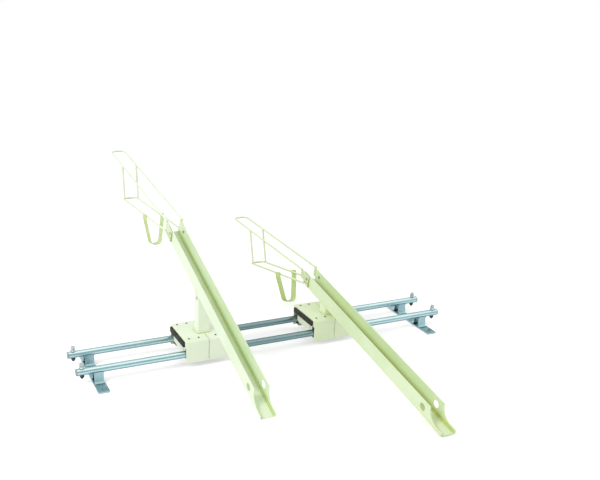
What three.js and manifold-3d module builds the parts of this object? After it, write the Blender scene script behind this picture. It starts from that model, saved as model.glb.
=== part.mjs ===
// Sliding high and low bicycle rack: two round rails held by saddle brackets on a pair of flat
// feet, and two roller carriages that each carry one wheel channel with a holder for the front wheel.
// Millimetres, +X along the rails, +Y away from the rider's end, +Z up.
import * as THREE from 'three';
import { mergeVertices } from 'three/addons/utils/BufferGeometryUtils.js';
import Module from 'manifold-3d';

const wasm = await Module();
wasm.setup();

// General fits
const gap = 0.3;
const overrun = 2;
const barSides = 10;
const roundSides = 16;
const smallSides = 10;
const bendSteps = 3;

// Rails, their feet, plugs and end bolts
const railDiameter = 27.2;
const railWall = 2.8;
const railLength = 1581;
const railGauge = 146;
const railHeight = 52.6;
const railSides = 24;
const plugFlange = 3;
const plugDepth = 30;
const endBoltInset = 19.5;
const endBoltDiameter = 10;
const endBoltHeadWidth = 17;
const endBoltHeadHeight = 7;
const endSleeveDiameter = 18;
const endSleeveHeight = 13;
const endNutHeight = 8;
const endThreadLength = 5;
const footInset = 79.5;
const footWidth = 44;
const footThickness = 5;
const footReach = 90;
const toeHoleReach = 67;
const toeHoleDiameter = 13;
const saddleWidth = 36;
const saddleThickness = 4;
const saddleSplay = 5;
const saddleFlange = 13;
const saddleBend = 4;
const saddleWrapAngle = THREE.MathUtils.degToRad(50);

// Carriages
const rackPitch = 553;
const carriageWidth = 188;
const carriageOverhang = 18;
const carriageTop = 112;
const coverBottom = 20;
const coverThickness = 2;
const coverBend = 7;
const coverSeam = 1.6;
const sideBandHeight = 30;
const sidePanelBottom = 51;
const sidePanelInset = 37;
const sidePanelCorner = 12;
const frameEndRoom = 8;
const framePlate = 6;
const webThickness = 3;
const webClearance = 1;
const hookDrop = 10;
const bumperHeight = 21;
const bumperThickness = 8;
const bumperSetDown = 7;
const bumperInset = 14;
const screwHeadDiameter = 9;
const screwHeadHeight = 2.4;
const screwDiameter = 4.5;
const screwStripWidth = 12;
const screwStripThickness = 4;
const screwEndInset = 19;
const screwMidInset = 59;
const screwRowInset = 23;

// Rollers and the pads that keep the carriage down on the rails
const rollerRadius = 13;
const rollerWidth = 22;
const rollerFlange = 4.2;
const rollerFlangeLand = 2;
const rollerEndInset = 29;
const axleDiameter = 8;
const axleCollarDiameter = 12;
const axleNutWidth = 13;
const axleNutHeight = 6;
const guideEndRoom = 12;
const guideRunningGap = 0.8;
const guideShoulder = 6;

// Wheel channels
const channelWidth = 58;
const channelHeight = 64;
const channelSheet = 2.3;
const channelBend = 5;
const mouthLip = 15;
const mouthFlat = 30;
const mouthRadius = 48;
const lockHoleDiameter = 28;
const lockHoleFromEnd = 115;
const lockHoleHeight = 33;

// Posts between carriage and channel
const baseThickness = 6;
const baseMargin = 4;
const postWidth = 50;
const postDepth = 45;
const postWall = 3.2;
const seatThickness = 4.5;
const seatEndMargin = 8;
const tongueDepth = 62;
const tongueThickness = 4;
const studDiameter = 10;
const studSpread = 28;
const studRowSpread = 19;
const studPlateMargin = 10;
const studPlateThickness = 4;
const crossBoltDiameter = 8;
const crossBoltHead = 13;
const crossBoltHeadHeight = 5;
const crossBoltDrop = 14;
const crossBoltInset = 12;

// Front wheel holders
const barDiameter = 9;
const bracketThickness = 4;
const bracketLap = 34;
const bracketReach = 33;
const bracketBottom = 21;
const bracketTop = 60;
const bracketCorner = 6;
const bracketBoltInset = 15;
const upperBarStart = 24;
const lowerBarStart = 36;
const lowerBarHeight = 15;
const loopBend = 26;
const kneeBend = 16;
const lowerLoopBend = 15;
const uprightInset = 22;
const cradleWidth = 42;
const cradleThickness = 4;
const cradleDepth = 130;
const cradleFloor = 44;
const cradleBend = 20;
const cradleLip = 8;
const cradleShoulder = 14;
const cradleLean = THREE.MathUtils.degToRad(30);
const holderBoltDiameter = 6;
const holderBoltHead = 11;
const holderBoltHeadHeight = 3.6;

// The high rack's channel and holder
const highTilt = THREE.MathUtils.degToRad(20.2);
const highMouthFromRail = 534;
const highMouthHeight = 60;
const highChannelLength = 1008;
const highHolderSetBack = 38;
const highPostFront = 40;
const highBarHeight = 70;
const highLoopReach = 879;
const highLoopDrop = 127;
const highLowerKnee = 36;
const highLowerReach = 616;
const highLowerDrop = 232;
const highUprightRake = 57;
const highCradleReach = 276;

// The low rack's channel and holder
const lowTilt = THREE.MathUtils.degToRad(10.3);
const lowMouthFromRail = 753;
const lowMouthHeight = 4;
const lowChannelLength = 980;
const lowHolderSetBack = 10;
const lowPostFront = 23;
const lowBarHeight = 63;
const lowLoopReach = 746;
const lowLoopDrop = 53;
const lowLowerKnee = -12;
const lowLowerReach = 500;
const lowLowerDrop = 177;
const lowUprightRake = 50;
const lowCradleReach = 215;

const racks = [
  {
    name: 'high',
    side: -1,
    tilt: highTilt,
    mouthFromRail: highMouthFromRail,
    mouthHeight: highMouthHeight,
    channelLength: highChannelLength,
    holderAt: highChannelLength - highHolderSetBack,
    postFront: highPostFront,
    barHeight: highBarHeight,
    loopReach: highLoopReach,
    loopDrop: highLoopDrop,
    lowerKnee: highLowerKnee,
    lowerReach: highLowerReach,
    lowerDrop: highLowerDrop,
    uprightReach: highLowerReach + highUprightRake,
    cradleReach: highCradleReach,
  },
  {
    name: 'low',
    side: 1,
    tilt: lowTilt,
    mouthFromRail: lowMouthFromRail,
    mouthHeight: lowMouthHeight,
    channelLength: lowChannelLength,
    holderAt: lowChannelLength - lowHolderSetBack,
    postFront: lowPostFront,
    barHeight: lowBarHeight,
    loopReach: lowLoopReach,
    loopDrop: lowLoopDrop,
    lowerKnee: lowLowerKnee,
    lowerReach: lowLowerReach,
    lowerDrop: lowLowerDrop,
    uprightReach: lowLowerReach + lowUprightRake,
    cradleReach: lowCradleReach,
  },
];

// Colours
const cream = { color: 0xe3ead2, roughness: 0.5, metalness: 0 };
const zinc = { color: 0xaebac2, roughness: 0.45, metalness: 0.8 };
const darkSteel = { color: 0x4a4f52, roughness: 0.5, metalness: 0.7 };
const blackRubber = { color: 0x1c1c1c, roughness: 0.85, metalness: 0 };
const nylon = { color: 0xe9e6da, roughness: 0.55, metalness: 0 };
const frameSteel = { color: 0x9aa39f, roughness: 0.5, metalness: 0.6 };

// Worked out from the sizes above
const railRadius = railDiameter / 2;
const barRadius = barDiameter / 2;
const carriageHalf = carriageWidth / 2;
const carriageFront = -carriageOverhang;
const carriageBack = railGauge + carriageOverhang;
const carriageMid = railGauge / 2;
const frameWidth = carriageWidth - 2 * (coverThickness + frameEndRoom);
const rollerSpread = frameWidth - 2 * rollerEndInset;
const screwRowSpan = carriageBack - carriageFront - 2 * screwRowInset;
const framePlateTop = carriageTop - coverThickness - gap;
const framePlateBottom = framePlateTop - framePlate;
const rollerAxis = railHeight + railRadius + gap + rollerRadius;
const channelHalf = channelWidth / 2;
const postHalf = postWidth / 2;
const barOffset = channelHalf + gap + barRadius;
const baseBottom = carriageTop + gap;
const baseTop = baseBottom + baseThickness;
const railYs = [0, railGauge];
const innerWebOffset = railRadius + webClearance;
const outerWebOffset = carriageOverhang - coverThickness - gap;
const hookTop = railHeight - railRadius - hookDrop;

// Shape and solid helpers
function asSolid(geometry) {
  const bare = geometry.clone();
  bare.deleteAttribute('normal');
  bare.deleteAttribute('uv');
  const merged = mergeVertices(bare);
  return new wasm.Manifold(new wasm.Mesh({
    numProp: 3,
    vertProperties: new Float32Array(merged.attributes.position.array),
    triVerts: new Uint32Array(merged.index.array),
  }));
}

function asGeometry(solid) {
  const mesh = solid.getMesh();
  const geometry = new THREE.BufferGeometry();
  geometry.setAttribute('position', new THREE.BufferAttribute(new Float32Array(mesh.vertProperties), 3));
  geometry.setIndex(new THREE.BufferAttribute(new Uint32Array(mesh.triVerts), 1));
  geometry.computeVertexNormals();
  return geometry;
}

function joined(geometries) {
  return asGeometry(geometries.map(asSolid).reduce((whole, piece) => whole.add(piece)));
}

function cutBy(geometry, cutters) {
  const cut = cutters.map(asSolid).reduce((whole, piece) => whole.subtract(piece), asSolid(geometry));
  return asGeometry(cut);
}

function place(parent, name, geometry, finish, x = 0, y = 0, z = 0) {
  const mesh = new THREE.Mesh(geometry, new THREE.MeshStandardMaterial(finish));
  mesh.name = name;
  mesh.position.set(x, y, z);
  parent.add(mesh);
  return mesh;
}

function flat(x, y) {
  return new THREE.Vector2(x, y);
}

function inSpace(x, y, z) {
  return new THREE.Vector3(x, y, z);
}

// Two places in rising order, whichever side of the middle they lie on
function span(a, b) {
  return a < b ? [a, b] : [b, a];
}

// Rounds the inner corners of a line of points, in the plane or in space
function rounded(points, radius) {
  const route = [points[0]];
  for (let i = 1; i < points.length - 1; i += 1) {
    const into = points[i].clone().sub(points[i - 1]).normalize();
    const out = points[i + 1].clone().sub(points[i]).normalize();
    const turn = Math.acos(THREE.MathUtils.clamp(into.dot(out), -1, 1));
    const setBack = radius * Math.tan(turn / 2);
    const start = points[i].clone().addScaledVector(into, -setBack);
    const end = points[i].clone().addScaledVector(out, setBack);
    const inward = out.clone().sub(into).normalize();
    const centre = points[i].clone().addScaledVector(inward, radius / Math.cos(turn / 2));
    const from = start.clone().sub(centre);
    const to = end.clone().sub(centre);
    for (let step = 0; step <= bendSteps; step += 1) {
      const share = step / bendSteps;
      const point = centre.clone();
      point.addScaledVector(from, Math.sin((1 - share) * turn) / Math.sin(turn));
      point.addScaledVector(to, Math.sin(share * turn) / Math.sin(turn));
      route.push(point);
    }
  }
  route.push(points[points.length - 1]);
  return route;
}

function arc(centreY, centreZ, radius, fromAngle, toAngle, steps) {
  const points = [];
  for (let step = 0; step <= steps; step += 1) {
    const angle = fromAngle + (toAngle - fromAngle) * (step / steps);
    points.push(flat(centreY + radius * Math.cos(angle), centreZ + radius * Math.sin(angle)));
  }
  return points;
}

// The outline of a bent strip whose middle line is the route
function stripShape(route, thickness) {
  const left = [];
  const right = [];
  route.forEach((point, i) => {
    const before = route[Math.max(i - 1, 0)];
    const after = route[Math.min(i + 1, route.length - 1)];
    const into = (i === 0 ? after.clone().sub(point) : point.clone().sub(before)).normalize();
    const out = (i === route.length - 1 ? point.clone().sub(before) : after.clone().sub(point)).normalize();
    const along = into.clone().add(out).normalize();
    const reach = thickness / 2 / along.dot(into);
    const normal = flat(-along.y, along.x);
    left.push(point.clone().addScaledVector(normal, reach));
    right.unshift(point.clone().addScaledVector(normal, -reach));
  });
  return new THREE.Shape(left.concat(right));
}

const alongX = new THREE.Matrix4().makeBasis(
  new THREE.Vector3(0, 1, 0),
  new THREE.Vector3(0, 0, 1),
  new THREE.Vector3(1, 0, 0),
);
const alongY = new THREE.Matrix4().makeBasis(
  new THREE.Vector3(1, 0, 0),
  new THREE.Vector3(0, 0, 1),
  new THREE.Vector3(0, -1, 0),
);

// A side profile drawn in Y and Z, given its width along X
function sideProfile(shape, fromX, toX) {
  const geometry = new THREE.ExtrudeGeometry(shape, { depth: toX - fromX, bevelEnabled: false });
  return geometry.applyMatrix4(alongX).translate(fromX, 0, 0);
}

// A front profile drawn in X and Z, given its length along Y
function frontProfile(shape, fromY, toY) {
  const geometry = new THREE.ExtrudeGeometry(shape, { depth: toY - fromY, bevelEnabled: false });
  return geometry.applyMatrix4(alongY).translate(0, toY, 0);
}

function block(fromX, toX, fromY, toY, fromZ, toZ) {
  const geometry = new THREE.BoxGeometry(toX - fromX, toY - fromY, toZ - fromZ);
  return geometry.translate((fromX + toX) / 2, (fromY + toY) / 2, (fromZ + toZ) / 2);
}

function uprightRod(diameter, fromZ, toZ, x = 0, y = 0, sides = roundSides) {
  const geometry = new THREE.CylinderGeometry(diameter / 2, diameter / 2, toZ - fromZ, sides);
  return geometry.rotateX(Math.PI / 2).translate(x, y, (fromZ + toZ) / 2);
}

function crossRod(diameter, fromX, toX, y, z, sides = roundSides) {
  const geometry = new THREE.CylinderGeometry(diameter / 2, diameter / 2, toX - fromX, sides);
  return geometry.rotateZ(Math.PI / 2).translate((fromX + toX) / 2, y, z);
}

function endRod(diameter, fromY, toY, x, z, sides = roundSides) {
  const geometry = new THREE.CylinderGeometry(diameter / 2, diameter / 2, toY - fromY, sides);
  return geometry.translate(x, (fromY + toY) / 2, z);
}

// A round profile given as radius and height pairs, turned about Z
function turned(profile, sides = roundSides) {
  const closed = profile.concat([profile[0]]);
  return new THREE.LatheGeometry(closed, sides).rotateX(Math.PI / 2);
}

// A bar's route, stepped only where it bends
class BarRoute extends THREE.Curve {
  constructor(stations) {
    super();
    this.stations = stations;
  }

  getPoint(t) {
    const last = this.stations.length - 1;
    const here = Math.min(Math.floor(t * last + 1e-6), last);
    const next = Math.min(here + 1, last);
    return this.stations[here].clone().lerp(this.stations[next], Math.max(t * last - here, 0));
  }

  getPointAt(t) {
    return this.getPoint(t);
  }

  getTangent(t) {
    const last = this.stations.length - 1;
    const here = Math.round(t * last);
    const before = this.stations[Math.max(here - 1, 0)];
    const after = this.stations[Math.min(here + 1, last)];
    const middle = this.stations[here];
    const into = middle.clone().sub(before).normalize();
    const out = after.clone().sub(middle).normalize();
    return into.add(out).normalize();
  }

  getTangentAt(t) {
    return this.getTangent(t);
  }
}

function bentBar(stations, diameter) {
  const section = new THREE.Shape(arc(0, 0, diameter / 2, 0, 2 * Math.PI, barSides).slice(0, barSides));
  return new THREE.ExtrudeGeometry(section, {
    steps: stations.length - 1,
    extrudePath: new BarRoute(stations),
    bevelEnabled: false,
  });
}

// Rails, feet, plugs and end bolts
function railGeometry() {
  const inner = railRadius - railWall;
  const half = railLength / 2;
  const pipe = turned([
    flat(inner, -half), flat(railRadius, -half), flat(railRadius, half), flat(inner, half),
  ], railSides);
  pipe.rotateY(Math.PI / 2);
  const holes = [-1, 1].map((end) => uprightRod(
    endBoltDiameter + 2 * gap, -railRadius - overrun, railRadius + overrun, end * (half - endBoltInset), 0,
    smallSides,
  ));
  return cutBy(pipe, holes);
}

// A flat bar on the ground with a bent saddle bracket under each rail
function footGeometry() {
  const half = footWidth / 2;
  const bar = block(-half, half, -footReach, railGauge + footReach, 0, footThickness);
  const seat = railRadius + gap + saddleThickness / 2;
  const wrapEnd = seat * Math.sin(saddleWrapAngle);
  const knee = wrapEnd + saddleSplay;
  const low = footThickness - gap + saddleThickness / 2;
  const startAngle = -Math.PI / 2 - saddleWrapAngle;
  const endAngle = -Math.PI / 2 + saddleWrapAngle;
  const saddles = railYs.map((railY) => {
    const wrap = arc(railY, railHeight, seat, startAngle, endAngle, 2 * bendSteps);
    const frontEnd = flat(railY - knee - saddleFlange, low);
    const backEnd = flat(railY + knee + saddleFlange, low);
    const down = rounded([frontEnd, flat(railY - knee, low), wrap[0]], saddleBend);
    const up = rounded([wrap[wrap.length - 1], flat(railY + knee, low), backEnd], saddleBend);
    const route = down.concat(wrap.slice(1), up.slice(1));
    return sideProfile(stripShape(route, saddleThickness), -saddleWidth / 2, saddleWidth / 2);
  });
  const holes = [-toeHoleReach, railGauge + toeHoleReach].map((y) => uprightRod(
    toeHoleDiameter, -overrun, footThickness + overrun, 0, y,
  ));
  return cutBy(joined([bar, ...saddles]), holes);
}

function railUnit(parent) {
  const railTop = railHeight + railRadius;
  const railBottom = railHeight - railRadius;
  place(parent, 'front_rail', railGeometry(), zinc, 0, 0, railHeight);
  place(parent, 'rear_rail', railGeometry(), zinc, 0, railGauge, railHeight);
  const footX = railLength / 2 - footInset;
  place(parent, 'left_foot', footGeometry(), zinc, -footX);
  place(parent, 'right_foot', footGeometry(), zinc, footX);
  const half = railLength / 2;
  const bore = railRadius - railWall;
  const sleeveBottom = railTop + gap;
  const headBottom = sleeveBottom + endSleeveHeight;
  const nutTop = railBottom - gap;
  const nutBottom = nutTop - endNutHeight;
  [-1, 1].forEach((end) => railYs.forEach((railY) => {
    const corner = `${railY > 0 ? 'rear' : 'front'}_${end < 0 ? 'left' : 'right'}`;
    const plugBody = joined([
      crossRod(2 * (bore - gap), -plugDepth, gap + plugFlange / 2, 0, 0),
      crossRod(railDiameter, gap, gap + plugFlange, 0, 0, railSides),
    ]);
    const plug = cutBy(plugBody, [
      uprightRod(endBoltDiameter + 2 * gap, -railRadius, railRadius, -endBoltInset, 0, smallSides),
    ]);
    const plugMesh = place(parent, `${corner}_plug`, plug, darkSteel, end * half, railY, railHeight);
    plugMesh.rotation.z = end > 0 ? 0 : Math.PI;
    const endBolt = joined([
      uprightRod(endBoltHeadWidth, headBottom, headBottom + endBoltHeadHeight, 0, 0, 6),
      uprightRod(endSleeveDiameter, sleeveBottom, headBottom + endBoltHeadHeight / 2),
      uprightRod(
        endBoltDiameter, nutBottom - endThreadLength, sleeveBottom + endSleeveHeight / 2, 0, 0, smallSides,
      ),
      uprightRod(endBoltHeadWidth, nutBottom, nutTop, 0, 0, 6),
    ]);
    place(parent, `${corner}_end_bolt`, endBolt, zinc, end * (half - endBoltInset), railY);
  }));
}

// Carriage
function studPlaces(rack) {
  const middle = rack.postFront + postDepth / 2;
  return [-1, 1].flatMap((row) => [-1, 1].map((side) => (
    flat(side * studSpread / 2, middle + row * studRowSpread / 2)
  )));
}

function screwPlaces(side) {
  const places = [];
  [screwEndInset, screwMidInset].forEach((inset) => {
    [-1, 1].forEach((end) => places.push(
      flat(side * (carriageHalf - inset), carriageMid + end * screwRowSpan / 2),
    ));
  });
  return places;
}

function coverGeometry(rack, side) {
  const middle = coverThickness / 2;
  const shell = stripShape(rounded([
    flat(carriageFront + middle, coverBottom),
    flat(carriageFront + middle, carriageTop - middle),
    flat(carriageBack - middle, carriageTop - middle),
    flat(carriageBack - middle, coverBottom),
  ], coverBend), coverThickness);
  const sheet = sideProfile(shell, ...span(side * carriageHalf, side * coverSeam / 2));
  const panelFront = carriageFront + sidePanelInset;
  const panelBack = carriageBack - sidePanelInset;
  const bandBottom = carriageTop - sideBandHeight;
  const lowerPanel = rounded([
    flat(panelFront, bandBottom),
    flat(panelFront, sidePanelBottom),
    flat(panelBack, sidePanelBottom),
    flat(panelBack, bandBottom),
  ], sidePanelCorner);
  const band = rounded([
    flat(carriageFront + middle, bandBottom),
    flat(carriageFront + middle, carriageTop - middle),
    flat(carriageBack - middle, carriageTop - middle),
    flat(carriageBack - middle, bandBottom),
  ], coverBend);
  const wallShape = new THREE.Shape(band.concat(lowerPanel.slice().reverse()));
  const wall = sideProfile(wallShape, ...span(side * carriageHalf, side * (carriageHalf - coverThickness)));
  const cutFrom = carriageTop - coverThickness - overrun;
  const cutTo = carriageTop + overrun;
  const cutters = screwPlaces(side).map((at) => uprightRod(
    screwDiameter + 2 * gap, cutFrom, cutTo, at.x, at.y, smallSides,
  ));
  studPlaces(rack).filter((at) => at.x * side > 0).forEach((at) => cutters.push(uprightRod(
    studDiameter + 2 * gap, cutFrom, cutTo, at.x, at.y, smallSides,
  )));
  return cutBy(joined([sheet, wall]), cutters);
}

function frameGeometry(rack) {
  const half = frameWidth / 2;
  const chamfer = coverBend - coverThickness / 2 - gap;
  const pieces = [sideProfile(new THREE.Shape([
    flat(-outerWebOffset, framePlateBottom),
    flat(railGauge + outerWebOffset, framePlateBottom),
    flat(railGauge + outerWebOffset, framePlateTop - chamfer),
    flat(railGauge + outerWebOffset - chamfer, framePlateTop),
    flat(-outerWebOffset + chamfer, framePlateTop),
    flat(-outerWebOffset, framePlateTop - chamfer),
  ]), -half, half)];
  const outerWebBottom = railHeight + railRadius + webClearance + webThickness;
  [-1, 1].forEach((outward) => {
    const railY = outward < 0 ? 0 : railGauge;
    const outer = span(railY + outward * outerWebOffset, railY + outward * (outerWebOffset - webThickness));
    const inner = span(railY - outward * innerWebOffset, railY - outward * (innerWebOffset + webThickness));
    const hook = span(railY + outward * railRadius, railY - outward * (innerWebOffset + webThickness));
    const top = framePlateBottom + gap;
    pieces.push(block(-half, half, ...outer, outerWebBottom, top));
    pieces.push(block(-half, half, ...inner, hookTop - webThickness, top));
    pieces.push(block(-half, half, ...hook, hookTop - webThickness, hookTop));
  });
  const holes = [];
  [-1, 1].forEach((end) => railYs.forEach((railY) => holes.push(endRod(
    axleDiameter + 2 * gap, railY - carriageOverhang, railY + carriageOverhang, end * rollerSpread / 2,
    rollerAxis, smallSides,
  ))));
  [-1, 1].forEach((side) => screwPlaces(side).forEach((at) => holes.push(uprightRod(
    screwDiameter + 2 * gap, framePlateBottom - overrun, framePlateTop + overrun, at.x, at.y, smallSides,
  ))));
  studPlaces(rack).forEach((at) => holes.push(uprightRod(
    studDiameter + 2 * gap, framePlateBottom - overrun, framePlateTop + overrun, at.x, at.y, smallSides,
  )));
  return cutBy(joined(pieces), holes);
}

function rollerGeometry() {
  const seat = railRadius + gap;
  const rise = rollerRadius + seat;
  const edge = rollerWidth / 2 - rollerFlangeLand;
  const flange = rollerRadius + rollerFlange;
  const bore = axleDiameter / 2 + gap;
  const points = [flat(bore, -rollerWidth / 2), flat(flange, -rollerWidth / 2)];
  const grooveSteps = 2 * bendSteps;
  for (let step = 0; step <= grooveSteps; step += 1) {
    const y = edge * (2 * (step / grooveSteps) - 1);
    points.push(flat(Math.min(rise - Math.sqrt(seat * seat - y * y), flange), y));
  }
  points.push(flat(flange, rollerWidth / 2), flat(bore, rollerWidth / 2));
  return turned(points).rotateX(Math.PI / 2);
}

// One axle crosses the carriage and carries a front and a rear roller between its collars
function axleGeometry() {
  const webIn = innerWebOffset;
  const webOut = outerWebOffset - webThickness;
  const pieces = [endRod(
    axleDiameter, -outerWebOffset + gap, railGauge + outerWebOffset - gap, 0, 0, smallSides,
  )];
  [-1, 1].forEach((outward) => {
    const railY = outward < 0 ? 0 : railGauge;
    const ring = (diameter, from, to, sides) => {
      pieces.push(endRod(diameter, ...span(railY - outward * from, railY - outward * to), 0, 0, sides));
    };
    ring(axleCollarDiameter, -webOut + gap, -rollerWidth / 2 - gap, smallSides);
    ring(axleCollarDiameter, rollerWidth / 2 + gap, webIn - gap, smallSides);
    ring(axleNutWidth, webIn + webThickness + gap, webIn + webThickness + gap + axleNutHeight, 6);
  });
  return joined(pieces);
}

// A nylon strip under the rail, lying in the frame's lip, that stops the carriage lifting
function guideGeometry(railY) {
  const half = frameWidth / 2 - guideEndRoom;
  const bottom = hookTop + gap;
  const top = railHeight - railRadius + guideShoulder;
  const body = block(-half, half, railY - railRadius, railY + railRadius, bottom, top);
  const groove = crossRod(
    railDiameter + 2 * guideRunningGap, -half - overrun, half + overrun, railY, railHeight, railSides,
  );
  return cutBy(body, [groove]);
}

// A tapped strip with its four cover screws
function screwStripGeometry(y) {
  const top = framePlateBottom - gap;
  const half = frameWidth / 2;
  const pieces = [block(
    -half, half, y - screwStripWidth / 2, y + screwStripWidth / 2, top - screwStripThickness, top,
  )];
  [-1, 1].forEach((side) => [screwEndInset, screwMidInset].forEach((inset) => {
    const x = side * (carriageHalf - inset);
    const headBottom = carriageTop + gap;
    pieces.push(uprightRod(screwHeadDiameter, headBottom, headBottom + screwHeadHeight, x, y, smallSides));
    pieces.push(uprightRod(
      screwDiameter, top - screwStripThickness / 2, headBottom + screwHeadHeight / 2, x, y, smallSides,
    ));
  }));
  return joined(pieces);
}

function carriage(parent, rack) {
  const prefix = rack.name;
  place(parent, `${prefix}_carriage_frame`, frameGeometry(rack), frameSteel);
  place(parent, `${prefix}_left_cover`, coverGeometry(rack, -1), cream);
  place(parent, `${prefix}_right_cover`, coverGeometry(rack, 1), cream);
  const bumperTop = carriageTop - bumperSetDown;
  [-1, 1].forEach((side) => {
    const faces = span(side * (carriageHalf + gap), side * (carriageHalf + gap + bumperThickness));
    place(parent, `${prefix}_${side < 0 ? 'left' : 'right'}_bumper`, block(
      ...faces, carriageFront + bumperInset, carriageBack - bumperInset,
      bumperTop - bumperHeight, bumperTop,
    ), blackRubber);
  });
  [-1, 1].forEach((end) => {
    const x = end * rollerSpread / 2;
    const sideName = end < 0 ? 'left' : 'right';
    railYs.forEach((railY) => {
      const label = `${prefix}_${railY > 0 ? 'rear' : 'front'}_${sideName}_roller`;
      place(parent, label, rollerGeometry(), nylon, x, railY, rollerAxis);
    });
    place(parent, `${prefix}_${sideName}_axle`, axleGeometry(), darkSteel, x, 0, rollerAxis);
  });
  railYs.forEach((railY) => {
    const row = railY > 0 ? 'rear' : 'front';
    const screwY = carriageMid + (railY > 0 ? 1 : -1) * screwRowSpan / 2;
    place(parent, `${prefix}_${row}_guide`, guideGeometry(railY), nylon);
    place(parent, `${prefix}_${row}_screw_strip`, screwStripGeometry(screwY), darkSteel);
  });
  const plateHalf = studSpread / 2 + studPlateMargin;
  const plateMiddle = rack.postFront + postDepth / 2;
  const plateReach = studRowSpread / 2 + studPlateMargin;
  const plateTop = framePlateBottom - gap;
  place(parent, `${prefix}_stud_plate`, joined([
    block(-plateHalf, plateHalf, plateMiddle - plateReach, plateMiddle + plateReach,
      plateTop - studPlateThickness, plateTop),
    ...studPlaces(rack).map((at) => uprightRod(studDiameter, plateTop - studPlateThickness / 2, baseTop,
      at.x, at.y, smallSides)),
  ]), darkSteel);
}

// The underside of a rack's channel at a given place along Y
function undersideAt(rack, y) {
  return rack.mouthHeight + (y + rack.mouthFromRail) * Math.tan(rack.tilt);
}

// A box post on a wider base plate, open at the top, with its top edge cut to the channel's slope
function postSolid(rack, topAt) {
  const half = postHalf;
  const front = rack.postFront;
  const back = front + postDepth;
  const base = block(
    -half - baseMargin, half + baseMargin, front - baseMargin, back + baseMargin, baseBottom, baseTop,
  );
  const box = (inset) => sideProfile(new THREE.Shape([
    flat(front + inset, baseBottom + baseThickness / 2),
    flat(back - inset, baseBottom + baseThickness / 2),
    flat(back - inset, topAt(back - inset) + (inset > 0 ? overrun : 0)),
    flat(front + inset, topAt(front + inset) + (inset > 0 ? overrun : 0)),
  ]), -half + inset, half - inset);
  const holes = studPlaces(rack).map((at) => uprightRod(
    studDiameter + 2 * gap, baseBottom - overrun, baseTop + overrun, at.x, at.y, smallSides,
  ));
  const shell = asSolid(box(0)).subtract(asSolid(box(postWall))).add(asSolid(base));
  return holes.map(asSolid).reduce((whole, piece) => whole.subtract(piece), shell);
}

// High rack: a tall post, and a seat whose two tongues fit inside it and are held by a cross bolt
function tallPost(parent, rack) {
  const drop = gap / Math.cos(rack.tilt);
  const seatDrop = drop + seatThickness / Math.cos(rack.tilt);
  const half = postHalf;
  const front = rack.postFront;
  const back = front + postDepth;
  const topAt = (y) => undersideAt(rack, y) - seatDrop - drop;
  const boltY = front + crossBoltInset;
  const boltZ = topAt(boltY) - crossBoltDrop;
  const boltHole = crossRod(
    crossBoltDiameter + 2 * gap, -half - overrun, half + overrun, boltY, boltZ, smallSides,
  );
  const post = postSolid(rack, topAt).subtract(asSolid(boltHole));
  place(parent, `${rack.name}_post`, asGeometry(post), cream);

  const plateFrom = front - seatEndMargin;
  const plateTo = back + seatEndMargin;
  const seatWidth = channelHalf - channelBend;
  const plate = sideProfile(new THREE.Shape([
    flat(plateFrom, undersideAt(rack, plateFrom) - seatDrop),
    flat(plateTo, undersideAt(rack, plateTo) - seatDrop),
    flat(plateTo, undersideAt(rack, plateTo) - drop),
    flat(plateFrom, undersideAt(rack, plateFrom) - drop),
  ]), -seatWidth, seatWidth);
  const tongueFrom = front + postWall + gap;
  const tongueTo = back - postWall - gap;
  const tongues = [-1, 1].map((side) => {
    const outer = half - postWall - gap;
    const inner = outer - tongueThickness;
    return sideProfile(new THREE.Shape([
      flat(tongueFrom, topAt(tongueFrom) - tongueDepth),
      flat(tongueTo, topAt(tongueFrom) - tongueDepth),
      flat(tongueTo, undersideAt(rack, tongueTo) - drop - seatThickness / 2),
      flat(tongueFrom, undersideAt(rack, tongueFrom) - drop - seatThickness / 2),
    ]), ...span(side * inner, side * outer));
  });
  place(parent, `${rack.name}_channel_seat`, cutBy(joined([plate, ...tongues]), [boltHole]), cream);

  const headAt = half + gap;
  place(parent, `${rack.name}_post_bolt`, joined([
    crossRod(crossBoltHead, -headAt - crossBoltHeadHeight, -headAt, boltY, boltZ, smallSides),
    crossRod(
      crossBoltDiameter, -headAt - crossBoltHeadHeight / 2, headAt + crossBoltHeadHeight / 2, boltY, boltZ,
      smallSides,
    ),
    crossRod(crossBoltHead, headAt, headAt + crossBoltHeadHeight, boltY, boltZ, 6),
  ]), darkSteel);
}

// Low rack: a post so short that the channel rests straight on it
function shortPost(parent, rack) {
  const drop = gap / Math.cos(rack.tilt);
  const post = postSolid(rack, (y) => undersideAt(rack, y) - drop);
  place(parent, `${rack.name}_post`, asGeometry(post), cream);
}

// Channel and holder, drawn along Y from the channel's low end
function channelGeometry(rack) {
  const middle = channelSheet / 2;
  const section = stripShape(rounded([
    flat(-channelHalf + middle, channelHeight),
    flat(-channelHalf + middle, middle),
    flat(channelHalf - middle, middle),
    flat(channelHalf - middle, channelHeight),
  ], channelBend), channelSheet);
  const trough = frontProfile(section, 0, rack.channelLength);
  const sweepTop = mouthLip + mouthRadius;
  const sweep = arc(mouthFlat, sweepTop, mouthRadius, -Math.PI / 2, 0, 3 * bendSteps);
  const mouth = new THREE.Shape([
    flat(-overrun, mouthLip),
    ...sweep,
    flat(mouthFlat + mouthRadius, channelHeight + overrun),
    flat(-overrun, channelHeight + overrun),
  ]);
  const reach = channelHalf + overrun;
  const boltY = rack.holderAt - bracketLap + bracketBoltInset;
  const boltZ = (bracketBottom + bracketTop) / 2;
  return cutBy(trough, [
    crossRod(holderBoltDiameter + 2 * gap, -reach, reach, boltY, boltZ, smallSides),
    sideProfile(mouth, -reach, reach),
    crossRod(lockHoleDiameter, -reach, reach, lockHoleFromEnd, lockHoleHeight),
  ]);
}

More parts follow.
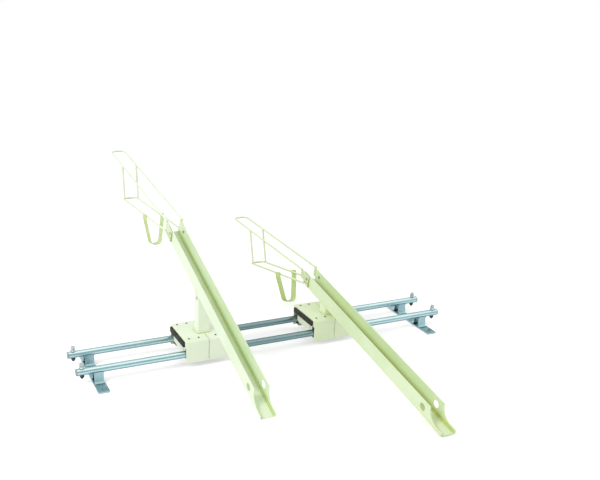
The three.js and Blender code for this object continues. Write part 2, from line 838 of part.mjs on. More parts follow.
function holder(parent, rack) {
  const side = (x, y, z) => [inSpace(-x, y, z), inSpace(x, y, z)];
  const near = side(barOffset, upperBarStart, rack.barHeight);
  const far = side(barOffset, rack.loopReach, -rack.loopDrop);
  const upper = rounded([near[0], far[0], far[1], near[1]], loopBend);
  const bracket = new THREE.Shape(rounded([
    flat(-bracketLap, bracketTop / 2),
    flat(-bracketLap, bracketBottom),
    flat(bracketReach, bracketBottom),
    flat(bracketReach, rack.barHeight),
    flat(upperBarStart, rack.barHeight),
    flat(0, bracketTop),
    flat(-bracketLap, bracketTop),
    flat(-bracketLap, bracketTop / 2),
  ], bracketCorner));
  const wallFace = channelHalf + gap;
  const boltY = -bracketLap + bracketBoltInset;
  const boltZ = (bracketBottom + bracketTop) / 2;
  const outerFace = wallFace + bracketThickness;
  const innerFace = channelHalf - channelSheet - gap;
  const headEnd = outerFace + holderBoltHeadHeight;
  const nutEnd = innerFace - holderBoltHeadHeight;
  const ears = [-1, 1].flatMap((hand) => [
    sideProfile(bracket, ...span(hand * wallFace, hand * outerFace)),
    crossRod(
      holderBoltDiameter, ...span(hand * nutEnd, hand * (outerFace + holderBoltHeadHeight / 2)), boltY, boltZ,
      smallSides,
    ),
    crossRod(holderBoltHead, ...span(hand * outerFace, hand * headEnd), boltY, boltZ, 6),
    crossRod(holderBoltHead, ...span(hand * nutEnd, hand * innerFace), boltY, boltZ, 6),
  ]);
  place(parent, `${rack.name}_upper_loop`, joined([bentBar(upper, barDiameter), ...ears]), cream);

  const start = side(barOffset, -lowerBarStart, lowerBarHeight);
  const turn = side(barOffset, rack.lowerKnee, lowerBarHeight);
  const end = side(barOffset, rack.lowerReach, -rack.lowerDrop);
  const outward = rounded([start[0], turn[0], end[0]], kneeBend);
  const across = rounded([turn[0], end[0], end[1], turn[1]], lowerLoopBend);
  const inward = rounded([end[1], turn[1], start[1]], kneeBend);
  const lower = outward.slice(0, -1).concat(across.slice(1, -1), inward.slice(1));
  place(parent, `${rack.name}_lower_loop`, bentBar(lower, barDiameter), cream);

  const onUpper = (y) => {
    const share = (y - upperBarStart) / (rack.loopReach - upperBarStart);
    return inSpace(0, y, rack.barHeight + share * (-rack.loopDrop - rack.barHeight));
  };
  const onLower = (y) => {
    const share = (y - rack.lowerKnee) / (rack.lowerReach - rack.lowerKnee);
    return inSpace(0, y, lowerBarHeight + share * (-rack.lowerDrop - lowerBarHeight));
  };
  const bottom = onLower(rack.lowerReach - uprightInset);
  const top = onUpper(rack.uprightReach);
  const rise = top.clone().sub(bottom).normalize();
  const upperWay = onUpper(rack.loopReach).sub(onUpper(upperBarStart)).normalize();
  const lowerWay = onLower(rack.lowerReach).sub(onLower(rack.lowerKnee)).normalize();
  const seatOn = (way) => {
    const slant = Math.abs(rise.dot(way));
    return (barRadius + gap + barRadius * slant) / Math.sqrt(1 - slant * slant);
  };
  bottom.addScaledVector(rise, seatOn(lowerWay));
  top.addScaledVector(rise, -seatOn(upperWay));
  [-1, 1].forEach((hand) => {
    const bar = bentBar([bottom, top].map((point) => point.clone().setX(hand * barOffset)), barDiameter);
    place(parent, `${rack.name}_${hand < 0 ? 'left' : 'right'}_upright`, bar, cream);
  });

  const armX = barOffset + barRadius + gap + cradleThickness / 2;
  const cradle = frontProfile(stripShape(rounded([
    flat(-armX, cradleLip),
    flat(-armX, -cradleShoulder),
    flat(-cradleFloor / 2, -cradleDepth),
    flat(cradleFloor / 2, -cradleDepth),
    flat(armX, -cradleShoulder),
    flat(armX, cradleLip),
  ], cradleBend), cradleThickness), -cradleWidth / 2, cradleWidth / 2);
  const cradleAt = onLower(rack.cradleReach);
  const cradleMesh = place(parent, `${rack.name}_tyre_cradle`, cradle, cream, 0, cradleAt.y, cradleAt.z);
  cradleMesh.rotation.x = -cradleLean;
}

const whole = new THREE.Group();
railUnit(whole);
racks.forEach((rack) => {
  const rackGroup = new THREE.Group();
  rackGroup.position.x = rack.side * rackPitch / 2;
  whole.add(rackGroup);
  carriage(rackGroup, rack);
  if (rack.name === 'high') {
    tallPost(rackGroup, rack);
  } else {
    shortPost(rackGroup, rack);
  }
  const slope = new THREE.Group();
  slope.position.set(0, -rack.mouthFromRail, rack.mouthHeight);
  slope.rotation.x = rack.tilt;
  rackGroup.add(slope);
  place(slope, `${rack.name}_channel`, channelGeometry(rack), cream);
  const holderGroup = new THREE.Group();
  holderGroup.position.y = rack.holderAt;
  slope.add(holderGroup);
  holder(holderGroup, rack);
});

// The origin is the middle of the ground under the whole rack
whole.updateMatrixWorld(true);
const bounds = new THREE.Box3().setFromObject(whole, true);
const middle = bounds.getCenter(new THREE.Vector3());
const rackUnit = new THREE.Group();
whole.position.set(-middle.x, -middle.y, -bounds.min.z);
rackUnit.add(whole);

export default rackUnit;
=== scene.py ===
import math
import bpy
import bmesh
from mathutils import Matrix, Vector


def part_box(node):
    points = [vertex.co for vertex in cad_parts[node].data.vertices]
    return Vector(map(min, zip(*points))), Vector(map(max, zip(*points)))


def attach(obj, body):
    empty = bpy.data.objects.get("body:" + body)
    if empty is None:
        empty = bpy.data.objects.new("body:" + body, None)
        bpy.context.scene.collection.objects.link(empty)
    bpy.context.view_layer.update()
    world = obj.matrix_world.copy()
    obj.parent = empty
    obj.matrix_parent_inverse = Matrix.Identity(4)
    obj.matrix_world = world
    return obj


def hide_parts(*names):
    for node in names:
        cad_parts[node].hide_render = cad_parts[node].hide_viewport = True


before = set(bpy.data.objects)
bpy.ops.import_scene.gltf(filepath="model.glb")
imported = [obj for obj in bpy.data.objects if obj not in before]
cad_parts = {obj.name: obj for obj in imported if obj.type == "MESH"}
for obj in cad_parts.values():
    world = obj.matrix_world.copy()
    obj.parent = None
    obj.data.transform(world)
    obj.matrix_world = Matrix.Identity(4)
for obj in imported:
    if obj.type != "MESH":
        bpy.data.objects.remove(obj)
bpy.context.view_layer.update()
scene = bpy.context.scene
print("frame loaded with", len(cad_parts), "nodes")

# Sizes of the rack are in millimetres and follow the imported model.
# Those of finishes, lamps and camera are in metres.
mm = 0.001
gap = 0.3
hands = {"left": -1, "right": 1}
rail = {"diameter": 27.2, "wall": 2.8, "length": 1581, "gauge": 146, "height": 52.6,
        "sides": 72, "endChamfer": 0.7}
railRadius = rail["diameter"] / 2
railHalf = rail["length"] / 2
railRows = {"front": 0, "rear": rail["gauge"]}

# Each rack's tint darkens its copies of the cream paint as painted shade, deeper on the low rack, and the
# last entry sets how much yellow-green painted shade its channel's hollows take.
racks = {
    "high": {"x": -276.5, "tilt": 20.2, "mouthFromRail": 534, "mouthHeight": 60, "channelLength": 1008,
             "holderAt": 970, "postFront": 40, "barHeight": 70, "loopReach": 879, "loopDrop": 127,
             "lowerKnee": 36, "lowerReach": 616, "lowerDrop": 232, "uprightReach": 673,
             "cradleReach": 276, "paintedShade": (1.0, 1.0, 1.0), "hollowShadeShare": 0.30},
    "low": {"x": 276.5, "tilt": 10.3, "mouthFromRail": 753, "mouthHeight": 4, "channelLength": 980,
            "holderAt": 970, "postFront": 23, "barHeight": 63, "loopReach": 746, "loopDrop": 53,
            "lowerKnee": -12, "lowerReach": 500, "lowerDrop": 177, "uprightReach": 550,
            "cradleReach": 215, "paintedShade": (0.925, 0.95, 0.83), "hollowShadeShare": 0.90},
}

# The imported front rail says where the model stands
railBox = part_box("front_rail")
railMiddle = (railBox[0] + railBox[1]) / 2
toScene = (Matrix.Translation(railMiddle) @ Matrix.Scale(mm, 4)
           @ Matrix.Translation((0, 0, -rail["height"])))
alongX = Matrix.Rotation(math.radians(90), 4, "Y")
alongY = Matrix.Rotation(math.radians(-90), 4, "X")


def rackPlace(rack):
    return Matrix.Translation((rack["x"], 0, 0))


# Shapes
def roundOff(points, radius, steps=8):  # rounds the inner corners of a line of points
    route = [points[0]]
    for before, corner, after in zip(points, points[1:], points[2:]):
        into = (corner - before).normalized()
        out = (after - corner).normalized()
        turn = into.angle(out)
        setBack = radius * math.tan(turn / 2)
        centre = corner + (out - into).normalized() * (radius / math.cos(turn / 2))
        fromCentre = corner - into * setBack - centre
        toCentre = corner + out * setBack - centre
        for step in range(steps + 1):
            share = step / steps
            swing = fromCentre * math.sin((1 - share) * turn) + toCentre * math.sin(share * turn)
            route.append(centre + swing / math.sin(turn))
    route.append(points[-1])
    return route


def closedOff(points, radius, steps=8):  # the same for a closed outline
    ring = [(points[-1] + points[0]) / 2] + list(points) + [(points[-1] + points[0]) / 2]
    return roundOff(ring, radius, steps)[1:-1]


def stripSides(route, thickness):  # both sides of a bent strip whose middle line is the route
    left, right = [], []
    last = len(route) - 1
    for i, point in enumerate(route):
        into = (point - route[i - 1] if i else route[1] - point).normalized()
        out = (route[i + 1] - point if i < last else point - route[i - 1]).normalized()
        along = (into + out).normalized()
        reach = thickness / 2 / along.dot(into)
        normal = Vector((-along.y, along.x))
        left.append(point + normal * reach)
        right.append(point - normal * reach)
    return left, right


def sideView(point, x):
    return Vector((x, point.x, point.y))


def frontView(point, y):
    return Vector((point.x, y, point.y))


def topView(point, z):
    return Vector((point.x, point.y, z))


def flat(x, y):
    return Vector((x, y))


def addRings(shape, rings, closed=False, where=Matrix()):
    loops = [[shape.verts.new(where @ point) for point in ring] for ring in rings]
    pairs = list(zip(loops, loops[1:]))
    if closed:
        pairs.append((loops[-1], loops[0]))
    for near, far in pairs:
        for i in range(len(near)):
            j = (i + 1) % len(near)
            shape.faces.new((near[i], near[j], far[j], far[i]))
    if not closed:
        shape.faces.new(loops[0])
        shape.faces.new(loops[-1])


def addStrip(shape, route, thickness, fromAt, toAt, view, where=Matrix()):
    left, right = stripSides(route, thickness)
    addRings(shape, [[view(a, fromAt), view(a, toAt), view(b, toAt), view(b, fromAt)]
                     for a, b in zip(left, right)], where=where)


def addSlab(shape, outline, fromAt, toAt, view, where=Matrix()):
    addRings(shape, [[view(point, at) for point in outline] for at in (fromAt, toAt)], where=where)


def addBlock(shape, fromX, toX, fromY, toY, fromZ, toZ):
    addSlab(shape, [flat(fromX, fromY), flat(toX, fromY), flat(toX, toY), flat(fromX, toY)],
            fromZ, toZ, topView)


def addTurned(shape, profile, where=Matrix(), sides=48, closed=False):  # (height, radius) pairs about Z
    rings = []
    for height, radius in profile:
        rings.append([Vector((radius * math.cos(2 * math.pi * i / sides),
                              radius * math.sin(2 * math.pi * i / sides), height))
                      for i in range(sides)])
    addRings(shape, rings, closed, where)


def addRod(shape, low, high, radius, chamfer, where):
    addTurned(shape, [(low, radius - chamfer), (low + chamfer, radius), (high - chamfer, radius),
                      (high, radius - chamfer)], where, 32)


def addHex(shape, acrossCorners, height, where=Matrix()):  # a nut or bolt head with turned corners
    flatRadius = acrossCorners / 2 * math.cos(math.pi / 6)
    perSide = 6
    face = flatRadius * 0.95
    rings = [[], [], [], []]
    for i in range(6 * perSide):
        angle = 2 * math.pi * i / (6 * perSide)
        reach = flatRadius / math.cos((angle + math.pi / 6) % (math.pi / 3) - math.pi / 6)
        drop = (reach - face) * math.tan(math.pi / 6)
        out = Vector((math.cos(angle), math.sin(angle), 0))
        up = Vector((0, 0, 1))
        rings[0].append(out * face)
        rings[1].append(out * reach + up * drop)
        rings[2].append(out * reach + up * (height - drop))
        rings[3].append(out * face + up * height)
    addRings(shape, rings, where=where)


def addBar(shape, stations, radius, sides=20, where=Matrix(), radii=None, closed=False, endRound=0.9):
    count = len(stations)
    tangents = []
    for i in range(count):
        before = stations[i - 1] if i or closed else stations[i]
        after = stations[(i + 1) % count] if i < count - 1 or closed else stations[i]
        tangents.append((after - before).normalized())
    side = tangents[0].orthogonal().normalized()
    rings = []

    def ringAt(centre, tangent, size):
        up = tangent.cross(side)
        return [centre + (side * math.cos(2 * math.pi * i / sides)
                          + up * math.sin(2 * math.pi * i / sides)) * size for i in range(sides)]

    for i, (centre, tangent) in enumerate(zip(stations, tangents)):
        side = (side - tangent * side.dot(tangent)).normalized()
        size = radii[i] if radii else radius
        if not closed and i == 0:
            rings.append(ringAt(centre, tangent, size - endRound))
            rings.append(ringAt(centre + tangent * endRound, tangent, size))
        elif not closed and i == count - 1:
            rings.append(ringAt(centre - tangent * endRound, tangent, size))
            rings.append(ringAt(centre, tangent, size - endRound))
        else:
            rings.append(ringAt(centre, tangent, size))
    addRings(shape, rings, closed, where)


def addBead(shape, path, size, where=Matrix(), closed=False, pitch=3.2):  # a weld bead along a path
    points = list(path) + ([path[0]] if closed else [])
    lengths = [0]
    for a, b in zip(points, points[1:]):
        lengths.append(lengths[-1] + (b - a).length)
    count = max(int(lengths[-1] / 0.9), 12)
    stations, radii = [], []
    leg = 0
    for i in range(count + (0 if closed else 1)):
        at = lengths[-1] * i / count
        while leg < len(points) - 2 and lengths[leg + 1] < at:
            leg += 1
        share = (at - lengths[leg]) / max(lengths[leg + 1] - lengths[leg], 1e-6)
        stations.append(points[leg].lerp(points[leg + 1], share))
        ripple = abs(math.sin(math.pi * at / pitch))
        radii.append(size * (0.82 + 0.18 * ripple + 0.05 * math.sin(at * 0.37)))
    addBar(shape, stations, size, 10, where, radii, closed, endRound=size * 0.5)


def ringPath(centre, axis, radius, steps=28):
    side = axis.orthogonal().normalized()
    up = axis.cross(side)
    return [centre + (side * math.cos(2 * math.pi * i / steps)
                      + up * math.sin(2 * math.pi * i / steps)) * radius for i in range(steps)]


def standPiece(name, shape, where=Matrix()):
    bmesh.ops.recalc_face_normals(shape, faces=shape.faces)
    shape.transform(toScene @ where)
    for face in shape.faces:
        face.smooth = True
    mesh = bpy.data.meshes.new(name)
    shape.to_mesh(mesh)
    shape.free()
    piece = bpy.data.objects.new(name, mesh)
    scene.collection.objects.link(piece)
    return piece


def bakeShape(piece):
    bpy.context.view_layer.update()
    graph = bpy.context.evaluated_depsgraph_get()
    mesh = bpy.data.meshes.new_from_object(piece.evaluated_get(graph))
    piece.modifiers.clear()
    piece.data = mesh


def putPiece(name, shape, body, finish, nodes=(), where=Matrix(), edge=0.0, cutters=(),
             sharpAngle=35):
    piece = standPiece(name, shape, where)
    helpers = []
    for cutter in cutters:
        helper = standPiece(name + "_cut", cutter, where)
        helpers.append(helper)
        step = piece.modifiers.new("cut", "BOOLEAN")
        step.operation = "DIFFERENCE"
        step.solver = "EXACT"
        step.object = helper
    if helpers:
        bakeShape(piece)
        for helper in helpers:
            bpy.data.objects.remove(helper)
    mesh = piece.data
    mesh.materials.clear()
    mesh.materials.append(finish)
    if edge:
        soften = piece.modifiers.new("soften", "BEVEL")
        soften.width = edge * mm
        soften.segments = 2
        soften.limit_method = "ANGLE"
        soften.angle_limit = math.radians(sharpAngle)
        soften.use_clamp_overlap = False
        soften.harden_normals = True
    else:
        mesh.set_sharp_from_angle(angle=math.radians(sharpAngle))
    if nodes:
        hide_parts(*nodes)
    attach(piece, body)
    return piece


# Finishes
def newFinish(name, roughness, metallic=0.0):
    finish = bpy.data.materials.new(name)
    finish.use_nodes = True
    shader = finish.node_tree.nodes["Principled BSDF"]
    shader.inputs["Roughness"].default_value = roughness
    shader.inputs["Metallic"].default_value = metallic
    return finish, finish.node_tree, shader


def addNode(tree, kind, values=None, links=None, **settings):
    node = tree.nodes.new("ShaderNode" + kind)
    for key, value in settings.items():
        setattr(node, key, value)
    for key, value in (values or {}).items():
        node.inputs[key].default_value = value
    for key, source in (links or {}).items():
        tree.links.new(source, node.inputs[key])
    return node


def surfacePoint(tree):
    return addNode(tree, "TexCoord").outputs["Object"]


def noiseFrom(tree, point, scale, detail=3, stretch=None):
    if stretch:
        point = addNode(tree, "Mapping", {"Scale": stretch}, {"Vector": point}).outputs[0]
    noise = addNode(tree, "TexNoise", {"Scale": scale, "Detail": detail}, {"Vector": point})
    return noise.outputs["Fac"]


def remap(tree, value, fromLow, fromHigh, toLow=0.0, toHigh=1.0, straight=False):
    node = addNode(tree, "MapRange", {"From Min": fromLow, "From Max": fromHigh, "To Min": toLow,
                                      "To Max": toHigh}, {"Value": value},
                   interpolation_type="LINEAR" if straight else "SMOOTHSTEP")
    return node.outputs[0]


def multiply(tree, a, b):
    node = addNode(tree, "Math", {}, {0: a}, operation="MULTIPLY")
    if isinstance(b, float):
        node.inputs[1].default_value = b
    else:
        tree.links.new(b, node.inputs[1])
    return node.outputs[0]


def mixColour(tree, factor, a, b):
    node = addNode(tree, "Mix", data_type="RGBA")
    for socket, value in ((node.inputs[0], factor), (node.inputs[6], a), (node.inputs[7], b)):
        if isinstance(value, (tuple, float)):
            socket.default_value = value
        else:
            tree.links.new(value, socket)
    return node.outputs[2]


def layOver(tree, colour, part, share, top):  # lays part of another colour over this one
    return mixColour(tree, multiply(tree, part, share), colour, top)


def inHollows(tree, reach, open, shut, samples=8):  # 1 in corners and hollows, 0 in the open
    hollow = addNode(tree, "AmbientOcclusion", {"Distance": reach}, samples=samples)
    return remap(tree, hollow.outputs["AO"], open, shut)


def facingUp(tree):  # 1 on a level top, -1 underneath
    normal = addNode(tree, "NewGeometry").outputs["Normal"]
    return addNode(tree, "SeparateXYZ", {}, {0: normal}).outputs[2]


def awayFrom(tree, point, x):  # sideways distance from a line along a channel
    place = addNode(tree, "SeparateXYZ", {}, {0: point}).outputs[0]
    apart = addNode(tree, "Math", {1: x}, {0: place}, operation="SUBTRACT").outputs[0]
    return addNode(tree, "Math", {}, {0: apart}, operation="ABSOLUTE").outputs[0]


def wornEdges(tree, point, radius, amount):  # worn more on outer edges, in patches
    bevel = addNode(tree, "Bevel", {"Radius": radius}, samples=4)
    plain = addNode(tree, "NewGeometry").outputs["Normal"]
    dot = addNode(tree, "VectorMath", {}, {0: bevel.outputs[0], 1: plain}, operation="DOT_PRODUCT")
    edge = remap(tree, dot.outputs["Value"], 0.99, 0.86)
    patches = remap(tree, noiseFrom(tree, point, 45, 4), 0.5, 0.68)
    return multiply(tree, multiply(tree, edge, patches), amount)


def varyRoughness(tree, shader, noise, low, high):
    tree.links.new(remap(tree, noise, 0.3, 0.7, low, high), shader.inputs["Roughness"])


def addBump(tree, shader, height, strength, distance, under=None):
    links = {"Height": height}
    if under is not None:
        links["Normal"] = under
    bump = addNode(tree, "Bump", {"Strength": strength, "Distance": distance}, links)
    tree.links.new(bump.outputs[0], shader.inputs["Normal"])
    return bump.outputs[0]


creamLook = {"base": (0.80, 0.89, 0.69), "pale": (0.85, 0.92, 0.76), "shadeOlive": (0.34, 0.47, 0.03, 1),
             "hollowShadeYellow": (0.68, 0.71, 0.22, 1), "roughness": 0.42, "roughRange": (0.36, 0.52),
             "cornerShadePath": 0.013, "dust": (0.62, 0.61, 0.50, 1), "dustShare": 0.16,
             "bare": (0.42, 0.45, 0.42, 1), "bareShare": 0.55, "bareRadius": 0.0013,
             "track": (0.20, 0.22, 0.15, 1), "trackShare": 0.08, "trackRange": (0.017, 0.004),
             "peelScale": 620, "waveScale": 38}
# Painted shade: the channel and the tyre cradle strap take darker copies of the cream paint, the strap's
# deeper and more olive.
channelPaintedShade = (0.95, 0.985, 0.91)
strapPaintedShade = (0.80, 0.87, 0.56)


def tinted(colour, paintedShade):
    return tuple(part * by for part, by in zip(colour, paintedShade)) + (1,)


def creamFinish(name, paintedShade, hollowShadeShare=0.18, hollowShadeReach=0.020, corner=0.35, cornerShadeRange=(0.85, 0.50),
                trackAt=None, under=0.0):
    finish, tree, shader = newFinish(name, creamLook["roughness"])
    point = surfacePoint(tree)
    colour = mixColour(tree, remap(tree, noiseFrom(tree, point, 7, 3), 0.35, 0.65),
                       tinted(creamLook["base"], paintedShade), tinted(creamLook["pale"], paintedShade))
    # Painted shade: a yellow-green tint spread through hollows, standing for light bounced inside a
    # channel.
    hollowShade = inHollows(tree, hollowShadeReach, 0.95, 0.42)
    colour = layOver(tree, colour, hollowShade, hollowShadeShare, creamLook["hollowShadeYellow"])
    # Painted shade: olive darkening close in the corners.
    cornerShade = inHollows(tree, creamLook["cornerShadePath"], *cornerShadeRange)
    colour = layOver(tree, colour, cornerShade, corner, creamLook["shadeOlive"])
    facing = facingUp(tree)
    if under:  # painted shade: undersides of thin bars turn olive, as they gather less light below
        colour = layOver(tree, colour, remap(tree, facing, 0.5, -0.6), under, creamLook["shadeOlive"])
    settled = multiply(tree, remap(tree, facing, 0.75, 0.98),
                       remap(tree, noiseFrom(tree, point, 26, 5), 0.48, 0.72))
    colour = layOver(tree, colour, settled, creamLook["dustShare"], creamLook["dust"])
    if trackAt is not None:  # rolling marks along the middle of a channel floor
        across = awayFrom(tree, point, trackAt * mm)
        streaks = remap(tree, noiseFrom(tree, point, 60, 4, (3.2, 0.12, 0.6)), 0.42, 0.66)
        track = multiply(tree, remap(tree, across, *creamLook["trackRange"]), streaks)
        track = multiply(tree, track, remap(tree, facing, 0.7, 0.9))
        colour = layOver(tree, colour, track, creamLook["trackShare"], creamLook["track"])
    worn = wornEdges(tree, point, creamLook["bareRadius"], creamLook["bareShare"])
    colour = mixColour(tree, worn, colour, creamLook["bare"])
    tree.links.new(colour, shader.inputs["Base Color"])
    varyRoughness(tree, shader, noiseFrom(tree, point, 30, 4), *creamLook["roughRange"])
    peel = addBump(tree, shader, noiseFrom(tree, point, creamLook["peelScale"], 2), 0.16, 0.0004)
    addBump(tree, shader, noiseFrom(tree, point, creamLook["waveScale"], 2), 0.10, 0.0012, peel)
    return finish


# Painted reflection and shade: the band colours below are laid on zinc by which way its surface faces, from
# underneath to the top.
steelLook = {"under": (0.10, 0.13, 0.14, 1), "low": (0.22, 0.34, 0.37, 1),
             "lit": (0.50, 0.74, 0.79, 1), "side": (0.30, 0.48, 0.53, 1),
             "teal": (0.18, 0.37, 0.39, 1), "bright": (0.80, 0.97, 0.95, 1),
             "top": (0.31, 0.48, 0.52, 1), "metallic": 0.75, "roughness": 0.36,
             "spangle": (0.58, 0.72, 0.74, 1), "spangleScale": 130.0, "spangleShare": 0.14,
             "runShare": 0.30, "shadeAndGrime": (0.04, 0.06, 0.06, 1), "shadeAndGrimePath": 0.014, "shadeAndGrimeShare": 0.9,
             "middleShade": (0.08, 0.15, 0.16, 1), "middleShadeShare": 0.68, "middleShadeFade": (0.04, -0.03)}
paintedLightBands = [(0.0, "under"), (0.26, "low"), (0.37, "low"), (0.45, "lit"), (0.53, "lit"),
              (0.62, "side"), (0.78, "teal"), (0.86, "bright"), (0.94, "bright"), (0.985, "top")]


def galvanisedFinish(name, middleShadeReach=None, swaps=None):  # swaps names bands that take another's colour
    finish, tree, shader = newFinish(name, steelLook["roughness"], steelLook["metallic"])
    point = surfacePoint(tree)
    facing = facingUp(tree)
    paintedBands = addNode(tree, "ValToRGB", {}, {"Fac": remap(tree, facing, -1, 1, straight=True)})
    ramp = paintedBands.color_ramp  # painted reflection and shade: bands of bright and dull set by which way the surface faces
    for i, (at, paintedShade) in enumerate(paintedLightBands):
        stop = ramp.elements[i] if i < 2 else ramp.elements.new(at)
        stop.position = at
        stop.color = steelLook[(swaps or {}).get(paintedShade, paintedShade)]
    swirl = addNode(tree, "TexNoise", {"Scale": 60.0, "Detail": 2.0}, {"Vector": point})
    warp = mixColour(tree, 0.06, point, swirl.outputs["Color"])
    cells = addNode(tree, "TexVoronoi", {"Scale": steelLook["spangleScale"], "Randomness": 1.0},
                    {"Vector": warp})
    spangle = addNode(tree, "SeparateColor", {}, {0: cells.outputs["Color"]}).outputs[0]
    flakes = multiply(tree, remap(tree, spangle, 0.2, 0.95), steelLook["spangleShare"])
    colour = mixColour(tree, flakes, paintedBands.outputs[0], steelLook["spangle"])
    runs = remap(tree, noiseFrom(tree, point, 22, 4, (0.25, 1.4, 1.4)), 0.5, 0.72)
    colour = layOver(tree, colour, runs, steelLook["runShare"], steelLook["low"])
    # Painted shade with grime: darker in hollows and corners.
    shadeAndGrime = inHollows(tree, steelLook["shadeAndGrimePath"], 0.78, 0.30)
    colour = layOver(tree, colour, shadeAndGrime, steelLook["shadeAndGrimeShare"], steelLook["shadeAndGrime"])
    if middleShadeReach is not None:  # painted shade: the rails are darker in the middle, where the carriages run
        outer, inner = (middleShadeReach + fade for fade in steelLook["middleShadeFade"])
        middleShadeMask = remap(tree, awayFrom(tree, point, 0.0), outer, inner)
        colour = layOver(tree, colour, middleShadeMask, steelLook["middleShadeShare"], steelLook["middleShade"])
    tree.links.new(colour, shader.inputs["Base Color"])
    rough = addNode(tree, "Math", {1: 0.14, 2: 0.24}, {0: spangle}, operation="MULTIPLY_ADD")
    tree.links.new(rough.outputs[0], shader.inputs["Roughness"])
    first = addBump(tree, shader, spangle, 0.08, 0.0003)
    addBump(tree, shader, noiseFrom(tree, point, 240, 3), 0.10, 0.0004, first)
    return finish


metalLook = {"shadeAndGrime": (0.05, 0.05, 0.045, 1), "shadeAndGrimePath": 0.006, "shadeAndGrimeShare": 0.7,
             "worn": (0.62, 0.63, 0.62, 1), "wornRadius": 0.0006, "wornShare": 0.6}


def plainMetalFinish(name, base, other, roughness, metallic=0.9, grain=300):
    finish, tree, shader = newFinish(name, roughness, metallic)
    point = surfacePoint(tree)
    mottle = remap(tree, noiseFrom(tree, point, grain / 4, 4), 0.35, 0.7)
    colour = mixColour(tree, mottle, base, other)
    # Painted shade with grime: darker in hollows and corners.
    shadeAndGrime = inHollows(tree, metalLook["shadeAndGrimePath"], 0.8, 0.2, samples=6)
    colour = layOver(tree, colour, shadeAndGrime, metalLook["shadeAndGrimeShare"], metalLook["shadeAndGrime"])
    worn = wornEdges(tree, point, metalLook["wornRadius"], metalLook["wornShare"])
    colour = mixColour(tree, worn, colour, metalLook["worn"])
    tree.links.new(colour, shader.inputs["Base Color"])
    varyRoughness(tree, shader, noiseFrom(tree, point, grain, 3), roughness - 0.08, roughness + 0.12)
    addBump(tree, shader, noiseFrom(tree, point, grain * 3, 2), 0.12, 0.0003)
    return finish


rubberLook = {"deep": (0.012, 0.012, 0.013, 1), "faded": (0.045, 0.045, 0.043, 1),
              "worn": (0.16, 0.16, 0.15, 1), "wornRadius": 0.0015, "wornShare": 0.5, "roughness": 0.72,
              "roughRange": (0.6, 0.85), "grainScale": 1500}


def rubberFinish(name):
    finish, tree, shader = newFinish(name, rubberLook["roughness"])
    point = surfacePoint(tree)
    colour = mixColour(tree, remap(tree, noiseFrom(tree, point, 70, 5), 0.45, 0.75),
                       rubberLook["deep"], rubberLook["faded"])
    worn = wornEdges(tree, point, rubberLook["wornRadius"], rubberLook["wornShare"])
    colour = mixColour(tree, worn, colour, rubberLook["worn"])
    tree.links.new(colour, shader.inputs["Base Color"])
    varyRoughness(tree, shader, noiseFrom(tree, point, 120, 3), *rubberLook["roughRange"])
    addBump(tree, shader, noiseFrom(tree, point, rubberLook["grainScale"], 2), 0.25, 0.0003)
    return finish


nylonLook = {"roughness": 0.45, "roughRange": (0.36, 0.6), "depth": 0.12, "depthScale": 0.004,
             "shadeAndGrime": (0.12, 0.12, 0.10, 1), "shadeAndGrimePath": 0.010, "shadeAndGrimeShare": 0.7, "grainScale": 700}


def nylonFinish(name, base, stain):
    finish, tree, shader = newFinish(name, nylonLook["roughness"])
    shader.inputs["Subsurface Weight"].default_value = nylonLook["depth"]
    shader.inputs["Subsurface Scale"].default_value = nylonLook["depthScale"]
    point = surfacePoint(tree)
    colour = mixColour(tree, remap(tree, noiseFrom(tree, point, 55, 5), 0.45, 0.75), base, stain)
    # Painted shade with grime: darker in hollows and corners.
    shadeAndGrime = inHollows(tree, nylonLook["shadeAndGrimePath"], 0.7, 0.15, samples=6)
    colour = layOver(tree, colour, shadeAndGrime, nylonLook["shadeAndGrimeShare"], nylonLook["shadeAndGrime"])
    tree.links.new(colour, shader.inputs["Base Color"])
    varyRoughness(tree, shader, noiseFrom(tree, point, 90, 3), *nylonLook["roughRange"])
    addBump(tree, shader, noiseFrom(tree, point, nylonLook["grainScale"], 2), 0.10, 0.0003)
    return finish


creamPaint = {}
channelPaint = {}
holderPaint = {}
strapPaint = {}
# Each rack's copies of the cream paint carry its painted shade; the channel copy adds stronger painted
# shade in hollows and corners, the holder and strap copies painted shade underneath.
for name, rack in racks.items():
    paintedShade = rack["paintedShade"]
    creamPaint[name] = creamFinish(name + "_cream_powder_coat", paintedShade)
    channelPaint[name] = creamFinish(name + "_channel_powder_coat", tinted(paintedShade, channelPaintedShade)[:3],
                                     hollowShadeShare=rack["hollowShadeShare"], hollowShadeReach=0.038, corner=0.95,
                                     cornerShadeRange=(0.91, 0.64), trackAt=rack["x"])
    holderPaint[name] = creamFinish(name + "_holder_powder_coat", paintedShade, under=0.75)
    strapPaint[name] = creamFinish(name + "_strap_powder_coat", tinted(paintedShade, strapPaintedShade)[:3], under=0.85)
galvanised = galvanisedFinish("galvanised_steel")
# Painted shade on the middle of the rails.
railZinc = galvanisedFinish("rail_zinc", middleShadeReach=0.19)
